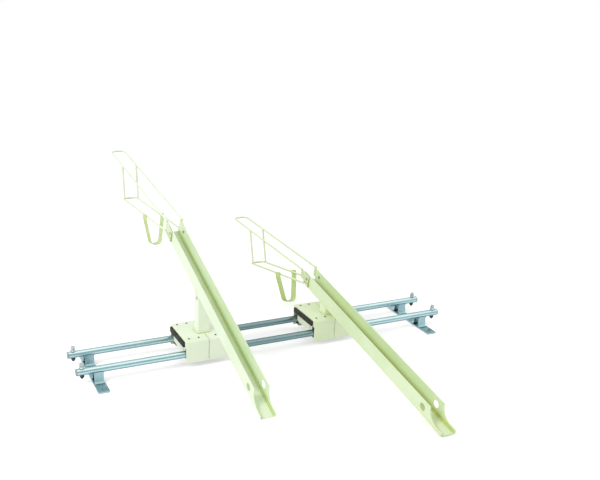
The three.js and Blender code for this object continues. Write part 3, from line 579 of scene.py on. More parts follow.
# Painted highlight and shade: the saddles' tops take the brightest band and their lit slopes the side
# colour.
saddleZinc = galvanisedFinish("saddle_zinc", swaps={"top": "bright", "lit": "side"})
boltZinc = plainMetalFinish("bolt_zinc", (0.38, 0.47, 0.49, 1), (0.60, 0.68, 0.69, 1), 0.30)
darkBolt = plainMetalFinish("dark_bolt", (0.035, 0.04, 0.035, 1), (0.07, 0.075, 0.065, 1), 0.45,
                            metallic=0.6)
innerSteel = plainMetalFinish("inner_steel", (0.30, 0.33, 0.33, 1), (0.42, 0.45, 0.44, 1), 0.45,
                              metallic=0.85, grain=160)
bumperRubber = rubberFinish("bumper_rubber")
rollerNylon = nylonFinish("roller_nylon", (0.70, 0.69, 0.62, 1), (0.50, 0.49, 0.42, 1))
plugPlastic = nylonFinish("plug_plastic", (0.33, 0.38, 0.40, 1), (0.22, 0.26, 0.28, 1))
print("finishes made")


# Rails, feet, plugs and end bolts
def makeRails():
    inner = railRadius - rail["wall"]
    chamfer = rail["endChamfer"]
    profile = []
    for end in (-1, 1):
        pair = [(end * railHalf, inner), (end * railHalf, railRadius - chamfer),
                (end * (railHalf - chamfer), railRadius)]
        profile += pair if end < 0 else pair[::-1]
    for row, y in railRows.items():
        shape = bmesh.new()
        addTurned(shape, profile, Matrix.Translation((0, y, rail["height"])) @ alongX, rail["sides"], True)
        putPiece(row + "_rail_tube", shape, "root", railZinc, [row + "_rail"])


foot = {"inset": 79.5, "width": 44, "thickness": 5, "reach": 90, "hole": 13, "holeReach": 67,
        "edge": 0.7, "corner": 4, "cutPast": 4}
saddle = {"width": 36, "thickness": 4, "splay": 5, "flange": 13, "bend": 4, "wrapAngle": 50, "edge": 0.6,
          "bead": 1.4}


def saddleRoute(y):
    seat = railRadius + gap + saddle["thickness"] / 2
    wrap = math.radians(saddle["wrapAngle"])
    knee = seat * math.sin(wrap) + saddle["splay"]
    low = foot["thickness"] + saddle["thickness"] / 2
    steps = 16
    under = []
    for step in range(steps + 1):
        angle = -math.pi / 2 - wrap + 2 * wrap * step / steps
        under.append(flat(y + seat * math.cos(angle), rail["height"] + seat * math.sin(angle)))
    flange = knee + saddle["flange"]
    down = roundOff([flat(y - flange, low), flat(y - knee, low), under[0]], saddle["bend"])
    up = roundOff([under[-1], flat(y + knee, low), flat(y + flange, low)], saddle["bend"])
    return down + under[1:] + up[1:]


def makeSaddle(name, row, y, where, beads):
    half = saddle["width"] / 2
    shape = bmesh.new()
    route = saddleRoute(y)
    addStrip(shape, route, saddle["thickness"], -half, half, sideView)
    putPiece(name + "_" + row + "_saddle", shape, "root", saddleZinc, where=where,
             edge=saddle["edge"])
    for flange in (route[:2], route[:-3:-1]):
        for x in (-half, half):
            addBead(beads, [Vector((x, point.x, foot["thickness"])) for point in flange], saddle["bead"])


def makeFeet():
    half = foot["width"] / 2
    bore = foot["hole"] / 2
    low, high = -foot["reach"], rail["gauge"] + foot["reach"]
    corners = [flat(-half, low), flat(half, low), flat(half, high), flat(-half, high)]
    for name, side in hands.items():
        where = Matrix.Translation((side * (railHalf - foot["inset"]), 0, 0))
        shape = bmesh.new()
        addSlab(shape, closedOff(corners, foot["corner"], 6), 0, foot["thickness"], topView)
        cutters = []
        for y in (-foot["holeReach"], rail["gauge"] + foot["holeReach"]):
            cutter = bmesh.new()
            addTurned(cutter, [(-foot["cutPast"], bore), (foot["thickness"] + foot["cutPast"], bore)],
                      Matrix.Translation((0, y, 0)), 40)
            cutters.append(cutter)
        putPiece(name + "_foot_bar", shape, "root", galvanised, [name + "_foot"],
                 where, foot["edge"], cutters)
        beads = bmesh.new()
        for row, y in railRows.items():
            makeSaddle(name, row, y, where, beads)
        putPiece(name + "_foot_welds", beads, "root", galvanised, where=where)


endBolt = {"inset": 19.5, "diameter": 10, "headWidth": 17, "headHeight": 7, "headTurn": 0.4,
           "sleeve": 18, "sleeveHeight": 13, "sleeveEdge": 0.6, "grooveAt": 4.2, "grooveWidth": 1.2,
           "grooveDepth": 0.5, "washer": 1.6, "washerStep": 1.4, "fillet": 0.4, "nutHeight": 8,
           "nutTurn": 0.2, "thread": 5, "pitch": 1.5, "threadDepth": 0.6, "tip": 1.4, "lead": 0.8,
           "leadDepth": 0.4, "runOut": 0.5}
plug = {"flange": 3, "depth": 30, "taper": 2.4, "rib": 0.5, "ribReach": 1, "ribsAt": (-24, -12, -6),
        "tuck": 0.1, "shoulder": 0.3, "shoulderRise": 0.4, "rim": 1.1, "rimShare": 0.3, "dish": 0.9,
        "dishShares": (0.62, 0.56, 0.2)}


def makeEndBolt(corner, where):
    top = rail["height"] + railRadius + gap
    headBottom = top + endBolt["sleeveHeight"]
    nutBottom = rail["height"] - railRadius - gap - endBolt["nutHeight"]
    threadEnd = nutBottom - endBolt["thread"]
    radius = endBolt["diameter"] / 2
    sleeve = endBolt["sleeve"] / 2
    edge, fillet = endBolt["sleeveEdge"], endBolt["fillet"]
    groove = top + endBolt["grooveAt"]
    washer = headBottom - endBolt["washer"]
    neck = sleeve - endBolt["washerStep"]
    shape = bmesh.new()
    addTurned(shape, [(top, sleeve - edge), (top + edge, sleeve), (groove, sleeve),
                      (groove + endBolt["grooveWidth"] / 2, sleeve - endBolt["grooveDepth"]),
                      (groove + endBolt["grooveWidth"], sleeve), (washer - fillet, sleeve), (washer, neck),
                      (headBottom - fillet / 2, neck), (headBottom, neck - fillet)])
    addHex(shape, endBolt["headWidth"], endBolt["headHeight"],
           Matrix.Translation((0, 0, headBottom)) @ Matrix.Rotation(endBolt["headTurn"], 4, "Z"))
    at = threadEnd + endBolt["lead"]
    thread = [(threadEnd, radius - endBolt["tip"]), (at, radius - endBolt["leadDepth"])]
    while at < nutBottom + endBolt["runOut"]:
        thread.append((at + endBolt["pitch"] / 2, radius))
        at += endBolt["pitch"]
        thread.append((at, radius - endBolt["threadDepth"]))
    thread += [(at + endBolt["runOut"], radius), (headBottom, radius)]
    nut = bmesh.new()
    addHex(nut, endBolt["headWidth"], endBolt["nutHeight"],
           Matrix.Translation((0, 0, nutBottom)) @ Matrix.Rotation(endBolt["nutTurn"], 4, "Z"))
    addTurned(nut, thread, sides=32)
    putPiece(corner + "_bolt_and_sleeve", shape, "root", boltZinc, [corner + "_end_bolt"],
             where)
    putPiece(corner + "_nut_and_thread", nut, "root", darkBolt, where=where)


def makePlug(corner, where):
    body = railRadius - rail["wall"] - gap
    face = gap + plug["flange"]
    rim = plug["rim"]
    rimStep = rim * plug["rimShare"]
    dish = face - plug["dish"]
    outer, lower, inner = (railRadius * share for share in plug["dishShares"])
    profile = [(-plug["depth"], body - plug["taper"]), (-plug["depth"] + plug["taper"], body)]
    for at in plug["ribsAt"]:
        profile += [(at - plug["ribReach"], body), (at, body - plug["rib"]), (at + plug["ribReach"], body)]
    profile += [(gap - plug["tuck"], body), (gap, railRadius - plug["shoulder"]),
                (gap + plug["shoulderRise"], railRadius), (face - rim, railRadius),
                (face - rimStep, railRadius - rimStep), (face, railRadius - rim), (face, outer),
                (dish, lower), (dish, inner)]
    shape = bmesh.new()
    addTurned(shape, profile, alongX)
    bore = endBolt["diameter"] / 2 + gap
    cutter = bmesh.new()
    addTurned(cutter, [(-railRadius, bore), (railRadius, bore)],
              Matrix.Translation((-endBolt["inset"], 0, 0)), 32)
    putPiece(corner + "_end_plug", shape, "root", plugPlastic, [corner + "_plug"], where,
             cutters=[cutter])


def makeRailEnds():
    for name, side in hands.items():
        turn = Matrix.Rotation(0 if side > 0 else math.pi, 4, "Z")
        for row, y in railRows.items():
            makeEndBolt(row + "_" + name, Matrix.Translation((side * (railHalf - endBolt["inset"]), y, 0)))
            makePlug(row + "_" + name, Matrix.Translation((side * railHalf, y, rail["height"])) @ turn)


makeRails()
makeFeet()
makeRailEnds()
print("rails, feet and rail ends made")


# Carriages
cover = {"width": 188, "overhang": 18, "top": 112, "bottom": 20, "thickness": 2, "bend": 7, "seam": 1.6,
         "bandHeight": 30, "panelBottom": 51, "panelInset": 37, "panelCorner": 12, "endRound": 2.2,
         "edge": 0.45, "cutPast": 5, "cutInside": 1}
carriageHalf = cover["width"] / 2
carriageFront = -cover["overhang"]
carriageBack = rail["gauge"] + cover["overhang"]
screw = {"stripWidth": 12, "stripThickness": 4, "stripEdge": 0.5, "endInset": 19, "midInset": 59,
         "rowSpan": 136, "shank": 4.5, "shankPast": 3, "height": 2.4, "head": 9, "washer": 0.9,
         "washerPlay": 0.1, "washerFoot": (0.15, 0.2), "washerTop": (0.4, 0.3), "capHead": 6.6,
         "capSeat": 0.02, "capWall": 0.6, "capRound": 1.05, "capTop": 0.12,
         "capShares": (0.88, 0.66, 0.5), "socket": 3.6, "socketDepth": 1.1, "socketPast": 1,
         "turn": 0.5, "turnPerInset": 0.1}
frameWidth = 168
framePlate = 6
framePlateBottom = cover["top"] - cover["thickness"] - gap - framePlate


def coverOutline(inset):  # the cover's outline in Y and Z, moved inwards
    front, back = carriageFront + inset, carriageBack - inset
    top = cover["top"] - inset
    corners = [flat(front, cover["bottom"]), flat(front, top), flat(back, top),
               flat(back, cover["bottom"])]
    return roundOff(corners, cover["bend"] + cover["thickness"] / 2 - inset, 10)


def coverHollow(side):
    inner = coverOutline(cover["thickness"])
    inner = [flat(inner[0].x, 0)] + inner + [flat(inner[-1].x, 0)]
    seam = cover["seam"] / 2
    ends = sorted((side * (carriageHalf - cover["thickness"]), side * (seam - cover["cutPast"])))
    hollow = bmesh.new()
    addSlab(hollow, inner, ends[0], ends[1], sideView)
    return hollow


def coverEndOpening(side):  # the end wall keeps a band at its top, which the bumper lies on
    band = cover["top"] - cover["bandHeight"]
    low = cover["panelBottom"]
    front = carriageFront + cover["panelInset"]
    back = carriageBack - cover["panelInset"]
    panel = roundOff([flat(front, band), flat(front, low), flat(back, low), flat(back, band)],
                     cover["panelCorner"], 10)
    sheet = cover["thickness"]
    opening = [flat(carriageFront + sheet, 0), flat(carriageFront + sheet, band)] + panel
    opening += [flat(carriageBack - sheet, band), flat(carriageBack - sheet, 0)]
    ends = sorted((side * (carriageHalf + cover["cutPast"]),
                   side * (carriageHalf - sheet - cover["cutInside"])))
    cutter = bmesh.new()
    addSlab(cutter, opening, ends[0], ends[1], sideView)
    return cutter


def makeCover(prefix, name, side, rack):
    rings = []
    steps = 4
    for step in range(steps + 1):
        angle = math.pi / 2 * step / steps
        sink = cover["endRound"] * (1 - math.sin(angle))
        x = carriageHalf - cover["endRound"] * (1 - math.cos(angle))
        rings.append([sideView(point, side * x) for point in coverOutline(sink)])
    rings.append([sideView(point, side * cover["seam"] / 2) for point in coverOutline(0)])
    shape = bmesh.new()
    addRings(shape, rings)
    putPiece(prefix + "_" + name + "_cover_sheet", shape, prefix + "_rack", creamPaint[prefix],
             [prefix + "_" + name + "_cover"], rackPlace(rack), cover["edge"],
             [coverHollow(side), coverEndOpening(side)])


bumper = {"height": 21, "thickness": 8, "setDown": 7, "inset": 14, "round": 2.2, "groove": 0.9,
          "grooveAt": 4.4}


def makeBumper(prefix, name, side, rack):
    top = cover["top"] - bumper["setDown"]
    bottom = top - bumper["height"]
    front = carriageFront + bumper["inset"]
    back = carriageBack - bumper["inset"]
    near = carriageHalf + gap
    far = near + bumper["thickness"]
    middle = (top + bottom) / 2
    groove = bumper["groove"]
    outline = [flat(near, bottom)] + roundOff(
        [flat(near, bottom), flat(far, bottom), flat(far, middle)], bumper["round"], 6)[1:-1]
    for at in (middle - bumper["grooveAt"], middle + bumper["grooveAt"]):
        outline += [flat(far, at - groove), flat(far - groove, at), flat(far, at + groove)]
    outline += roundOff([flat(far, middle), flat(far, top), flat(near, top)], bumper["round"], 6)[1:-1]
    outline.append(flat(near, top))
    shape = bmesh.new()
    rings = []
    steps = 5
    for end in (-1, 1):
        for step in range(steps + 1):
            angle = math.pi / 2 * (step if end < 0 else steps - step) / steps
            sink = bumper["round"] * (1 - math.sin(angle))
            inward = bumper["round"] * (1 - math.cos(angle))
            y = front + inward if end < 0 else back - inward
            ring = []
            for point in outline:
                x = min(point.x, far - sink)
                z = min(max(point.y, bottom + sink), top - sink)
                ring.append(Vector((side * x, y, z)))
            rings.append(ring)
    addRings(shape, rings)
    putPiece(prefix + "_" + name + "_bumper_strip", shape, prefix + "_rack", bumperRubber,
             [prefix + "_" + name + "_bumper"], rackPlace(rack), sharpAngle=50)


roller = {"radius": 13, "width": 22, "flange": 4.2, "land": 2, "spread": 110, "hub": 5,
          "recess": 1.2, "rim": 3.6, "edge": 0.5}
axle = {"diameter": 8, "edge": 0.7, "collar": 12, "collarEdge": 0.3, "nutWidth": 13, "nutHeight": 6}
web = {"thickness": 3, "clearance": 1}
rollerAxis = rail["height"] + railRadius + gap + roller["radius"]
innerWeb = railRadius + web["clearance"]
outerWeb = cover["overhang"] - cover["thickness"] - gap


def makeRollers(prefix, rack):
    seat = railRadius + gap
    rise = roller["radius"] + seat
    half = roller["width"] / 2
    grooveHalf = half - roller["land"]
    edge, inset = roller["edge"], roller["recess"]
    bore = axle["diameter"] / 2 + gap
    hub = bore + roller["hub"]
    flange = roller["radius"] + roller["flange"]
    rim = flange - roller["rim"]
    face = [(-half, bore), (-half, hub - edge), (-half + inset, hub), (-half + inset, rim),
            (-half, rim + edge), (-half, flange - edge), (-half + edge, flange)]
    profile = list(face)
    steps = 18
    for step in range(steps + 1):  # the groove runs round the rail
        y = grooveHalf * (2 * step / steps - 1)
        profile.append((y, min(rise - math.sqrt(seat * seat - y * y), flange)))
    profile += [(-y, radius) for y, radius in reversed(face)]
    for name, side in hands.items():
        for row, y in railRows.items():
            shape = bmesh.new()
            addTurned(shape, profile, alongY, 56, True)
            where = Matrix.Translation((rack["x"] + side * roller["spread"] / 2, y, rollerAxis))
            corner = prefix + "_" + row + "_" + name
            putPiece(corner + "_grooved_roller", shape, corner + "_roller", rollerNylon,
                     [corner + "_roller"], where)


def makeAxles(prefix, rack):
    half = roller["width"] / 2
    collars = [(outerWeb - web["thickness"] - gap, half + gap), (-half - gap, -innerWeb + gap)]
    nut = innerWeb + web["thickness"] + gap
    for name, side in hands.items():
        shape = bmesh.new()
        addRod(shape, -outerWeb + gap, rail["gauge"] + outerWeb - gap, axle["diameter"] / 2,
               axle["edge"], alongY)
        for outward, y in ((-1, 0), (1, rail["gauge"])):
            for near, far in collars:
                low, high = sorted((y + outward * near, y + outward * far))
                addRod(shape, low, high, axle["collar"] / 2, axle["collarEdge"], alongY)
            low = min(y - outward * nut, y - outward * (nut + axle["nutHeight"]))
            addHex(shape, axle["nutWidth"], axle["nutHeight"], Matrix.Translation((0, low, 0)) @ alongY)
        where = Matrix.Translation((rack["x"] + side * roller["spread"] / 2, 0, rollerAxis))
        putPiece(prefix + "_" + name + "_axle_rod", shape, prefix + "_rack", innerSteel,
                 [prefix + "_" + name + "_axle"], where)


def addCoverScrew(heads, washers, sockets, at, turn):
    rim = screw["head"] / 2
    shank = screw["shank"] / 2
    bore = shank + screw["washerPlay"]
    thick, height = screw["washer"], screw["height"]
    footIn, footUp = screw["washerFoot"]
    topIn, topDown = screw["washerTop"]
    addTurned(washers, [(0, bore), (0, rim - footIn), (footUp, rim), (thick - topDown, rim),
                        (thick, rim - topIn), (thick, bore)], at, 36, True)
    cap = screw["capHead"] / 2
    low = thick + screw["capSeat"]
    shoulder, brow, crown = (cap * share for share in screw["capShares"])
    addTurned(heads, [(-(cover["thickness"] + framePlate + screw["shankPast"]), shank), (low, shank),
                      (low + screw["capSeat"] / 2, cap), (low + screw["capWall"], cap),
                      (low + screw["capRound"], shoulder), (height - screw["capTop"], brow),
                      (height, crown)], at, 36)
    addTurned(sockets, [(height - screw["socketDepth"], screw["socket"] / 2),
                        (height + screw["socketPast"], screw["socket"] / 2)], at @ turn, 6)


def makeScrews(prefix, rack):
    body = prefix + "_rack"
    where = rackPlace(rack)
    stripTop = framePlateBottom - gap
    half = screw["stripWidth"] / 2
    for row, end in (("front", -1), ("rear", 1)):
        y = rail["gauge"] / 2 + end * screw["rowSpan"] / 2
        start = prefix + "_" + row
        shape = bmesh.new()
        addBlock(shape, -frameWidth / 2, frameWidth / 2, y - half, y + half,
                 stripTop - screw["stripThickness"], stripTop)
        putPiece(start + "_tapped_strip", shape, body, innerSteel,
                 [start + "_screw_strip"], where, screw["stripEdge"])
        heads, washers, sockets = bmesh.new(), bmesh.new(), bmesh.new()
        for side in (-1, 1):
            for inset in (screw["endInset"], screw["midInset"]):
                at = Matrix.Translation((side * (carriageHalf - inset), y, cover["top"] + gap))
                angle = screw["turn"] * side + screw["turnPerInset"] * inset
                addCoverScrew(heads, washers, sockets, at, Matrix.Rotation(angle, 4, "Z"))
        putPiece(start + "_cover_screws", heads, body, darkBolt, where=where,
                 cutters=[sockets])
        putPiece(start + "_screw_washers", washers, body, boltZinc, where=where)


def makeCarriage(prefix, rack):
    for name, side in hands.items():
        makeCover(prefix, name, side, rack)
        makeBumper(prefix, name, side, rack)
    makeRollers(prefix, rack)
    makeAxles(prefix, rack)
    makeScrews(prefix, rack)
    for node, finish in (("_carriage_frame", innerSteel), ("_stud_plate", innerSteel),
                         ("_front_guide", rollerNylon), ("_rear_guide", rollerNylon)):
        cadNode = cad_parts[prefix + node]
        for place in cadNode.material_slots:
            place.material = finish


# Posts
post = {"base": 6, "baseCorner": 4, "baseEdge": 0.9, "margin": 4, "width": 50, "depth": 45,
        "wall": 3.2, "corner": 3.5, "innerCorner": 1.2, "sunk": 1, "edge": 0.7, "bead": 1.5,
        "beadOut": 0.4, "beadLift": 0.3, "seat": 4.5, "seatMargin": 8, "seatEdge": 0.6, "tongue": 62,
        "tongueThickness": 4, "bolt": 8, "boltEdge": 0.8, "boltPast": 1, "boltInset": 12,
        "boltDrop": 14, "boltHead": 13, "boltHeadHeight": 5, "hexShare": 0.92, "washer": 1.1,
        "washerRise": 0.3, "washerEdge": 0.2,
        "domeShares": ((0, 1), (0.24, 1), (0.6, 0.86), (0.86, 0.58), (1, 0.25))}
channel = {"width": 58, "height": 64, "sheet": 2.3, "bend": 5, "lip": 15, "mouthFlat": 30,
           "mouthRadius": 48, "mouthStep": 0.6, "lockHole": 28, "lockFromEnd": 115, "lockHeight": 33,
           "cutPast": 4, "edge": 0.5}
channelHalf = channel["width"] / 2
postHalf = post["width"] / 2


def undersideAt(rack, y):
    return rack["mouthHeight"] + (y + rack["mouthFromRail"]) * math.tan(math.radians(rack["tilt"]))


def boxOutline(inset, front, corner, steps=6):
    x = postHalf - inset
    near = front + inset
    far = front + post["depth"] - inset
    return closedOff([flat(-x, near), flat(x, near), flat(x, far), flat(-x, far)], corner, steps)


def makeSeat(prefix, rack, drop, seatDrop, topDrop):
    front = rack["postFront"]
    back = front + post["depth"]
    near, far = front - post["seatMargin"], back + post["seatMargin"]
    half = channelHalf - channel["bend"]
    shape = bmesh.new()
    addSlab(shape, [flat(near, undersideAt(rack, near) - seatDrop),
                    flat(far, undersideAt(rack, far) - seatDrop),
                    flat(far, undersideAt(rack, far) - drop),
                    flat(near, undersideAt(rack, near) - drop)], -half, half, sideView)
    near, far = front + post["wall"] + gap, back - post["wall"] - gap
    low = undersideAt(rack, near) - topDrop - post["tongue"]
    into = drop + post["seat"] / 2
    for side in (-1, 1):
        outside = side * (postHalf - post["wall"] - gap)
        inside = outside - side * post["tongueThickness"]
        addSlab(shape, [flat(near, low), flat(far, low), flat(far, undersideAt(rack, far) - into),
                        flat(near, undersideAt(rack, near) - into)],
                min(inside, outside), max(inside, outside), sideView)
    putPiece(prefix + "_seat_plate", shape, prefix + "_rack", creamPaint[prefix],
             [prefix + "_channel_seat"], rackPlace(rack), post["seatEdge"])


def makeCrossBolt(prefix, rack, topDrop):
    y = rack["postFront"] + post["boltInset"]
    z = undersideAt(rack, y) - topDrop - post["boltDrop"]
    at = postHalf + gap
    radius, edge = post["bolt"] / 2, post["boltEdge"]
    head, height = post["boltHead"] / 2, post["boltHeadHeight"]
    washer = post["washer"]
    shape = bmesh.new()
    addTurned(shape, [(-at - post["boltPast"], radius), (at + height - edge, radius),
                      (at + height, radius - edge)], alongX, 28)
    addHex(shape, post["boltHead"] * post["hexShare"], height - washer,
           Matrix.Translation((at + washer, 0, 0)) @ alongX)
    addTurned(shape, [(at, head - post["washerEdge"]), (at + post["washerRise"], head),
                      (at + washer, head)], alongX, 36)
    addTurned(shape, [(-at - height * up, head * out) for up, out in post["domeShares"]], alongX, 36)
    putPiece(prefix + "_cross_bolt", shape, prefix + "_rack", boltZinc,
             [prefix + "_post_bolt"], Matrix.Translation((rack["x"], y, z)))


def makePost(prefix, rack):
    tall = prefix == "high"
    body = prefix + "_rack"
    paint = creamPaint[prefix]
    where = rackPlace(rack)
    slope = math.cos(math.radians(rack["tilt"]))
    drop = gap / slope
    seatDrop = drop + post["seat"] / slope
    topDrop = seatDrop + drop if tall else drop
    front = rack["postFront"]
    back = front + post["depth"]
    baseBottom = cover["top"] + gap
    baseTop = baseBottom + post["base"]
    outer = boxOutline(0, front, post["corner"])
    inner = boxOutline(post["wall"], front, post["innerCorner"])
    shape = bmesh.new()
    addRings(shape, [[topView(p, baseBottom + post["sunk"]) for p in outer],
                     [topView(p, undersideAt(rack, p.y) - topDrop) for p in outer],
                     [topView(p, undersideAt(rack, p.y) - topDrop) for p in inner],
                     [topView(p, baseBottom + post["base"] / 2) for p in inner]])
    putPiece(prefix + "_box_post", shape, body, paint, [prefix + "_post"], where,
             post["edge"])
    reach = postHalf + post["margin"]
    near, far = front - post["margin"], back + post["margin"]
    corners = [flat(-reach, near), flat(reach, near), flat(reach, far), flat(-reach, far)]
    shape = bmesh.new()
    addSlab(shape, closedOff(corners, post["baseCorner"], 6), baseBottom, baseTop, topView)
    putPiece(prefix + "_post_base", shape, body, paint, where=where,
             edge=post["baseEdge"])
    path = boxOutline(-post["beadOut"], front, post["corner"])
    shape = bmesh.new()
    addBead(shape, [topView(p, baseTop + post["beadLift"]) for p in path], post["bead"], closed=True)
    putPiece(prefix + "_post_weld", shape, body, paint, where=where)
    if tall:
        makeSeat(prefix, rack, drop, seatDrop, topDrop)
        makeCrossBolt(prefix, rack, topDrop)


# Channels
def slopePlace(rack):
    return (Matrix.Translation((rack["x"], -rack["mouthFromRail"], rack["mouthHeight"]))
            @ Matrix.Rotation(math.radians(rack["tilt"]), 4, "X"))


def makeChannel(prefix, rack):
    half = channel["sheet"] / 2
    side = channelHalf - half
    lip, radius = channel["lip"], channel["mouthRadius"]
    sweepStart = channel["mouthFlat"]
    stations = [(0, lip), (sweepStart, lip)]
    steps = 18
    for step in range(1, steps + 1):
        angle = -math.pi / 2 + math.pi / 2 * step / steps
        stations.append((sweepStart + radius * math.cos(angle), lip + radius + radius * math.sin(angle)))
    stations.append((sweepStart + radius + channel["mouthStep"], channel["height"]))
    stations.append((rack["channelLength"], channel["height"]))
    rings = []
    for y, top in stations:
        route = roundOff([flat(-side, top), flat(-side, half), flat(side, half), flat(side, top)],
                         channel["bend"], 8)
        left, right = stripSides(route, channel["sheet"])
        rings.append([frontView(point, y) for point in left + right[::-1]])
    shape = bmesh.new()
    addRings(shape, rings)
    reach = channelHalf + channel["cutPast"]
    bore = channel["lockHole"] / 2
    cutter = bmesh.new()
    addTurned(cutter, [(-reach, bore), (reach, bore)],
              Matrix.Translation((0, channel["lockFromEnd"], channel["lockHeight"])) @ alongX, 56)
    putPiece(prefix + "_wheel_channel_sheet", shape, prefix + "_rack", channelPaint[prefix],
             [prefix + "_channel"], slopePlace(rack), channel["edge"], [cutter])


# Holders
holder = {"bar": 9, "sides": 24, "upperStart": 24, "lowerStart": 36, "lowerHeight": 15,
          "loopBend": 26, "kneeBend": 16, "lowerBend": 15, "uprightInset": 22, "bracketThickness": 4,
          "lap": 34, "reach": 33, "bottom": 21, "top": 60, "corner": 6, "bracketEdge": 0.6,
          "bolt": 6, "boltInset": 15, "boltInPast": 0.6, "boltOutPast": 1.2, "boltHead": 11,
          "boltHeadHeight": 3.6, "hexShare": 0.9, "washer": 0.9, "washerEdge": 0.2}
weld = {"bead": 1.3, "endInset": 1, "sideShare": 0.62, "downShare": 0.82, "liftShare": 0.75,
        "wallInset": 0.8, "lowerEndInset": 2, "lowerShort": 3, "barSunk": 0.2, "strapInset": 1.5}
cradle = {"width": 42, "thickness": 4, "depth": 130, "floor": 44, "bend": 20, "lip": 8,
          "shoulder": 14, "lean": 30, "edge": 0.7}
barRadius = holder["bar"] / 2
barOffset = channelHalf + gap + barRadius


def bothSides(x, y, z):
    return Vector((-x, y, z)), Vector((x, y, z))


def upperAt(rack, y):  # the middle line of the upper loop's slanted bars
    share = (y - holder["upperStart"]) / (rack["loopReach"] - holder["upperStart"])
    return Vector((0, y, rack["barHeight"] - share * (rack["loopDrop"] + rack["barHeight"])))


def lowerAt(rack, y):  # the same for the lower loop
    share = (y - rack["lowerKnee"]) / (rack["lowerReach"] - rack["lowerKnee"])
    return Vector((0, y, holder["lowerHeight"] - share * (rack["lowerDrop"] + holder["lowerHeight"])))


def putBar(name, route, prefix, node, where):
    shape = bmesh.new()
    addBar(shape, route, barRadius, holder["sides"])
    putPiece(prefix + name, shape, prefix + "_rack", holderPaint[prefix],
             [prefix + node], where)


def makeUpperLoop(prefix, rack, where):
    near = bothSides(barOffset, holder["upperStart"], rack["barHeight"])
    far = bothSides(barOffset, rack["loopReach"], -rack["loopDrop"])
    route = roundOff([near[0], far[0], far[1], near[1]], holder["loopBend"], 12)
    putBar("_upper_loop_bar", route, prefix, "_upper_loop", where)


def addWallBolt(shape, turn, inside, outside):
    head, washer = holder["boltHead"] / 2, holder["washer"]
    height, radius = holder["boltHeadHeight"], holder["bolt"] / 2
    addTurned(shape, [(outside, head - holder["washerEdge"]), (outside + holder["washerEdge"], head),
                      (outside + washer, head)], turn, 32)
    addHex(shape, holder["boltHead"] * holder["hexShare"], height - washer,
           turn @ Matrix.Translation((0, 0, outside + washer)))
    addHex(shape, holder["boltHead"], height, turn @ Matrix.Translation((0, 0, inside)))
    addTurned(shape, [(inside - holder["boltInPast"], radius), (outside + holder["boltOutPast"], radius)],
              turn, 24)


def makeBrackets(prefix, rack, where, beads):
    lap, reach, barHeight = holder["lap"], holder["reach"], rack["barHeight"]
    low, top = holder["bottom"], holder["top"]
    outline = [flat(-lap, top / 2), flat(-lap, low), flat(reach, low), flat(reach, barHeight),
               flat(holder["upperStart"], barHeight), flat(0, top), flat(-lap, top), flat(-lap, top / 2)]
    bracket = roundOff(outline, holder["corner"], 8)[:-1]
    wall = channelHalf + gap
    outside = wall + holder["bracketThickness"]
    inside = channelHalf - channel["sheet"] - gap - holder["boltHeadHeight"]
    start = upperAt(rack, holder["upperStart"])
    along = (upperAt(rack, rack["loopReach"]) - start).normalized()
    span = (weld["endInset"], reach - holder["upperStart"] - weld["endInset"])
    plates, bolts = bmesh.new(), bmesh.new()
    for side in (-1, 1):
        ends = sorted((side * wall, side * outside))
        addSlab(plates, bracket, ends[0], ends[1], sideView)
        turn = Matrix.Translation((0, -lap + holder["boltInset"], (low + top) / 2)) @ alongX
        if side < 0:
            turn = turn @ Matrix.Rotation(math.pi, 4, "X")
        addWallBolt(bolts, turn, inside, outside)
        for lean in (-1, 1):
            seat = Vector((side * barOffset + lean * barRadius * weld["sideShare"], 0,
                           -barRadius * weld["downShare"]))
            addBead(beads, [start + along * at + seat for at in span], weld["bead"])
    putPiece(prefix + "_holder_brackets", plates, prefix + "_rack", holderPaint[prefix],
             where=where, edge=holder["bracketEdge"])
    putPiece(prefix + "_holder_bolts", bolts, prefix + "_rack", boltZinc, where=where)


def makeLowerLoop(prefix, rack, where, beads):
    height = holder["lowerHeight"]
    start = bothSides(barOffset, -holder["lowerStart"], height)
    knee = bothSides(barOffset, rack["lowerKnee"], height)
    end = bothSides(barOffset, rack["lowerReach"], -rack["lowerDrop"])
    outward = roundOff([start[0], knee[0], end[0]], holder["kneeBend"], 10)
    across = roundOff([knee[0], end[0], end[1], knee[1]], holder["lowerBend"], 12)
    inward = roundOff([end[1], knee[1], start[1]], holder["kneeBend"], 10)
    putBar("_lower_loop_bar", outward[:-1] + across[1:-1] + inward[1:], prefix, "_lower_loop", where)
    for side in (-1, 1):
        for lean in (-1, 1):
            z = height + lean * barRadius * weld["liftShare"]
            addBead(beads, [Vector((side * (channelHalf + weld["wallInset"]), y, z))
                            for y in (-holder["lowerStart"] + weld["lowerEndInset"], -weld["lowerShort"])],
                    weld["bead"])


def makeUprights(prefix, rack, where, beads):
    bottom = lowerAt(rack, rack["lowerReach"] - holder["uprightInset"])
    top = upperAt(rack, rack["uprightReach"])
    rise = (top - bottom).normalized()
    upperWay = (upperAt(rack, rack["loopReach"]) - upperAt(rack, holder["upperStart"])).normalized()
    lowerWay = (lowerAt(rack, rack["lowerReach"]) - lowerAt(rack, rack["lowerKnee"])).normalized()

    def seatOn(way):  # how far an end stands off the middle line of the bar it meets
        slant = abs(rise.dot(way))
        return (barRadius + gap + barRadius * slant) / math.sqrt(1 - slant * slant)

    bottom = bottom + rise * seatOn(lowerWay)
    top = top - rise * seatOn(upperWay)
    for name, side in hands.items():
        ends = [Vector((side * barOffset, point.y, point.z)) for point in (bottom, top)]
        putBar("_" + name + "_upright_bar", ends, prefix, "_" + name + "_upright", where)
        for end in ends:
            addBead(beads, ringPath(end, rise, barRadius - weld["barSunk"]), weld["bead"], closed=True)


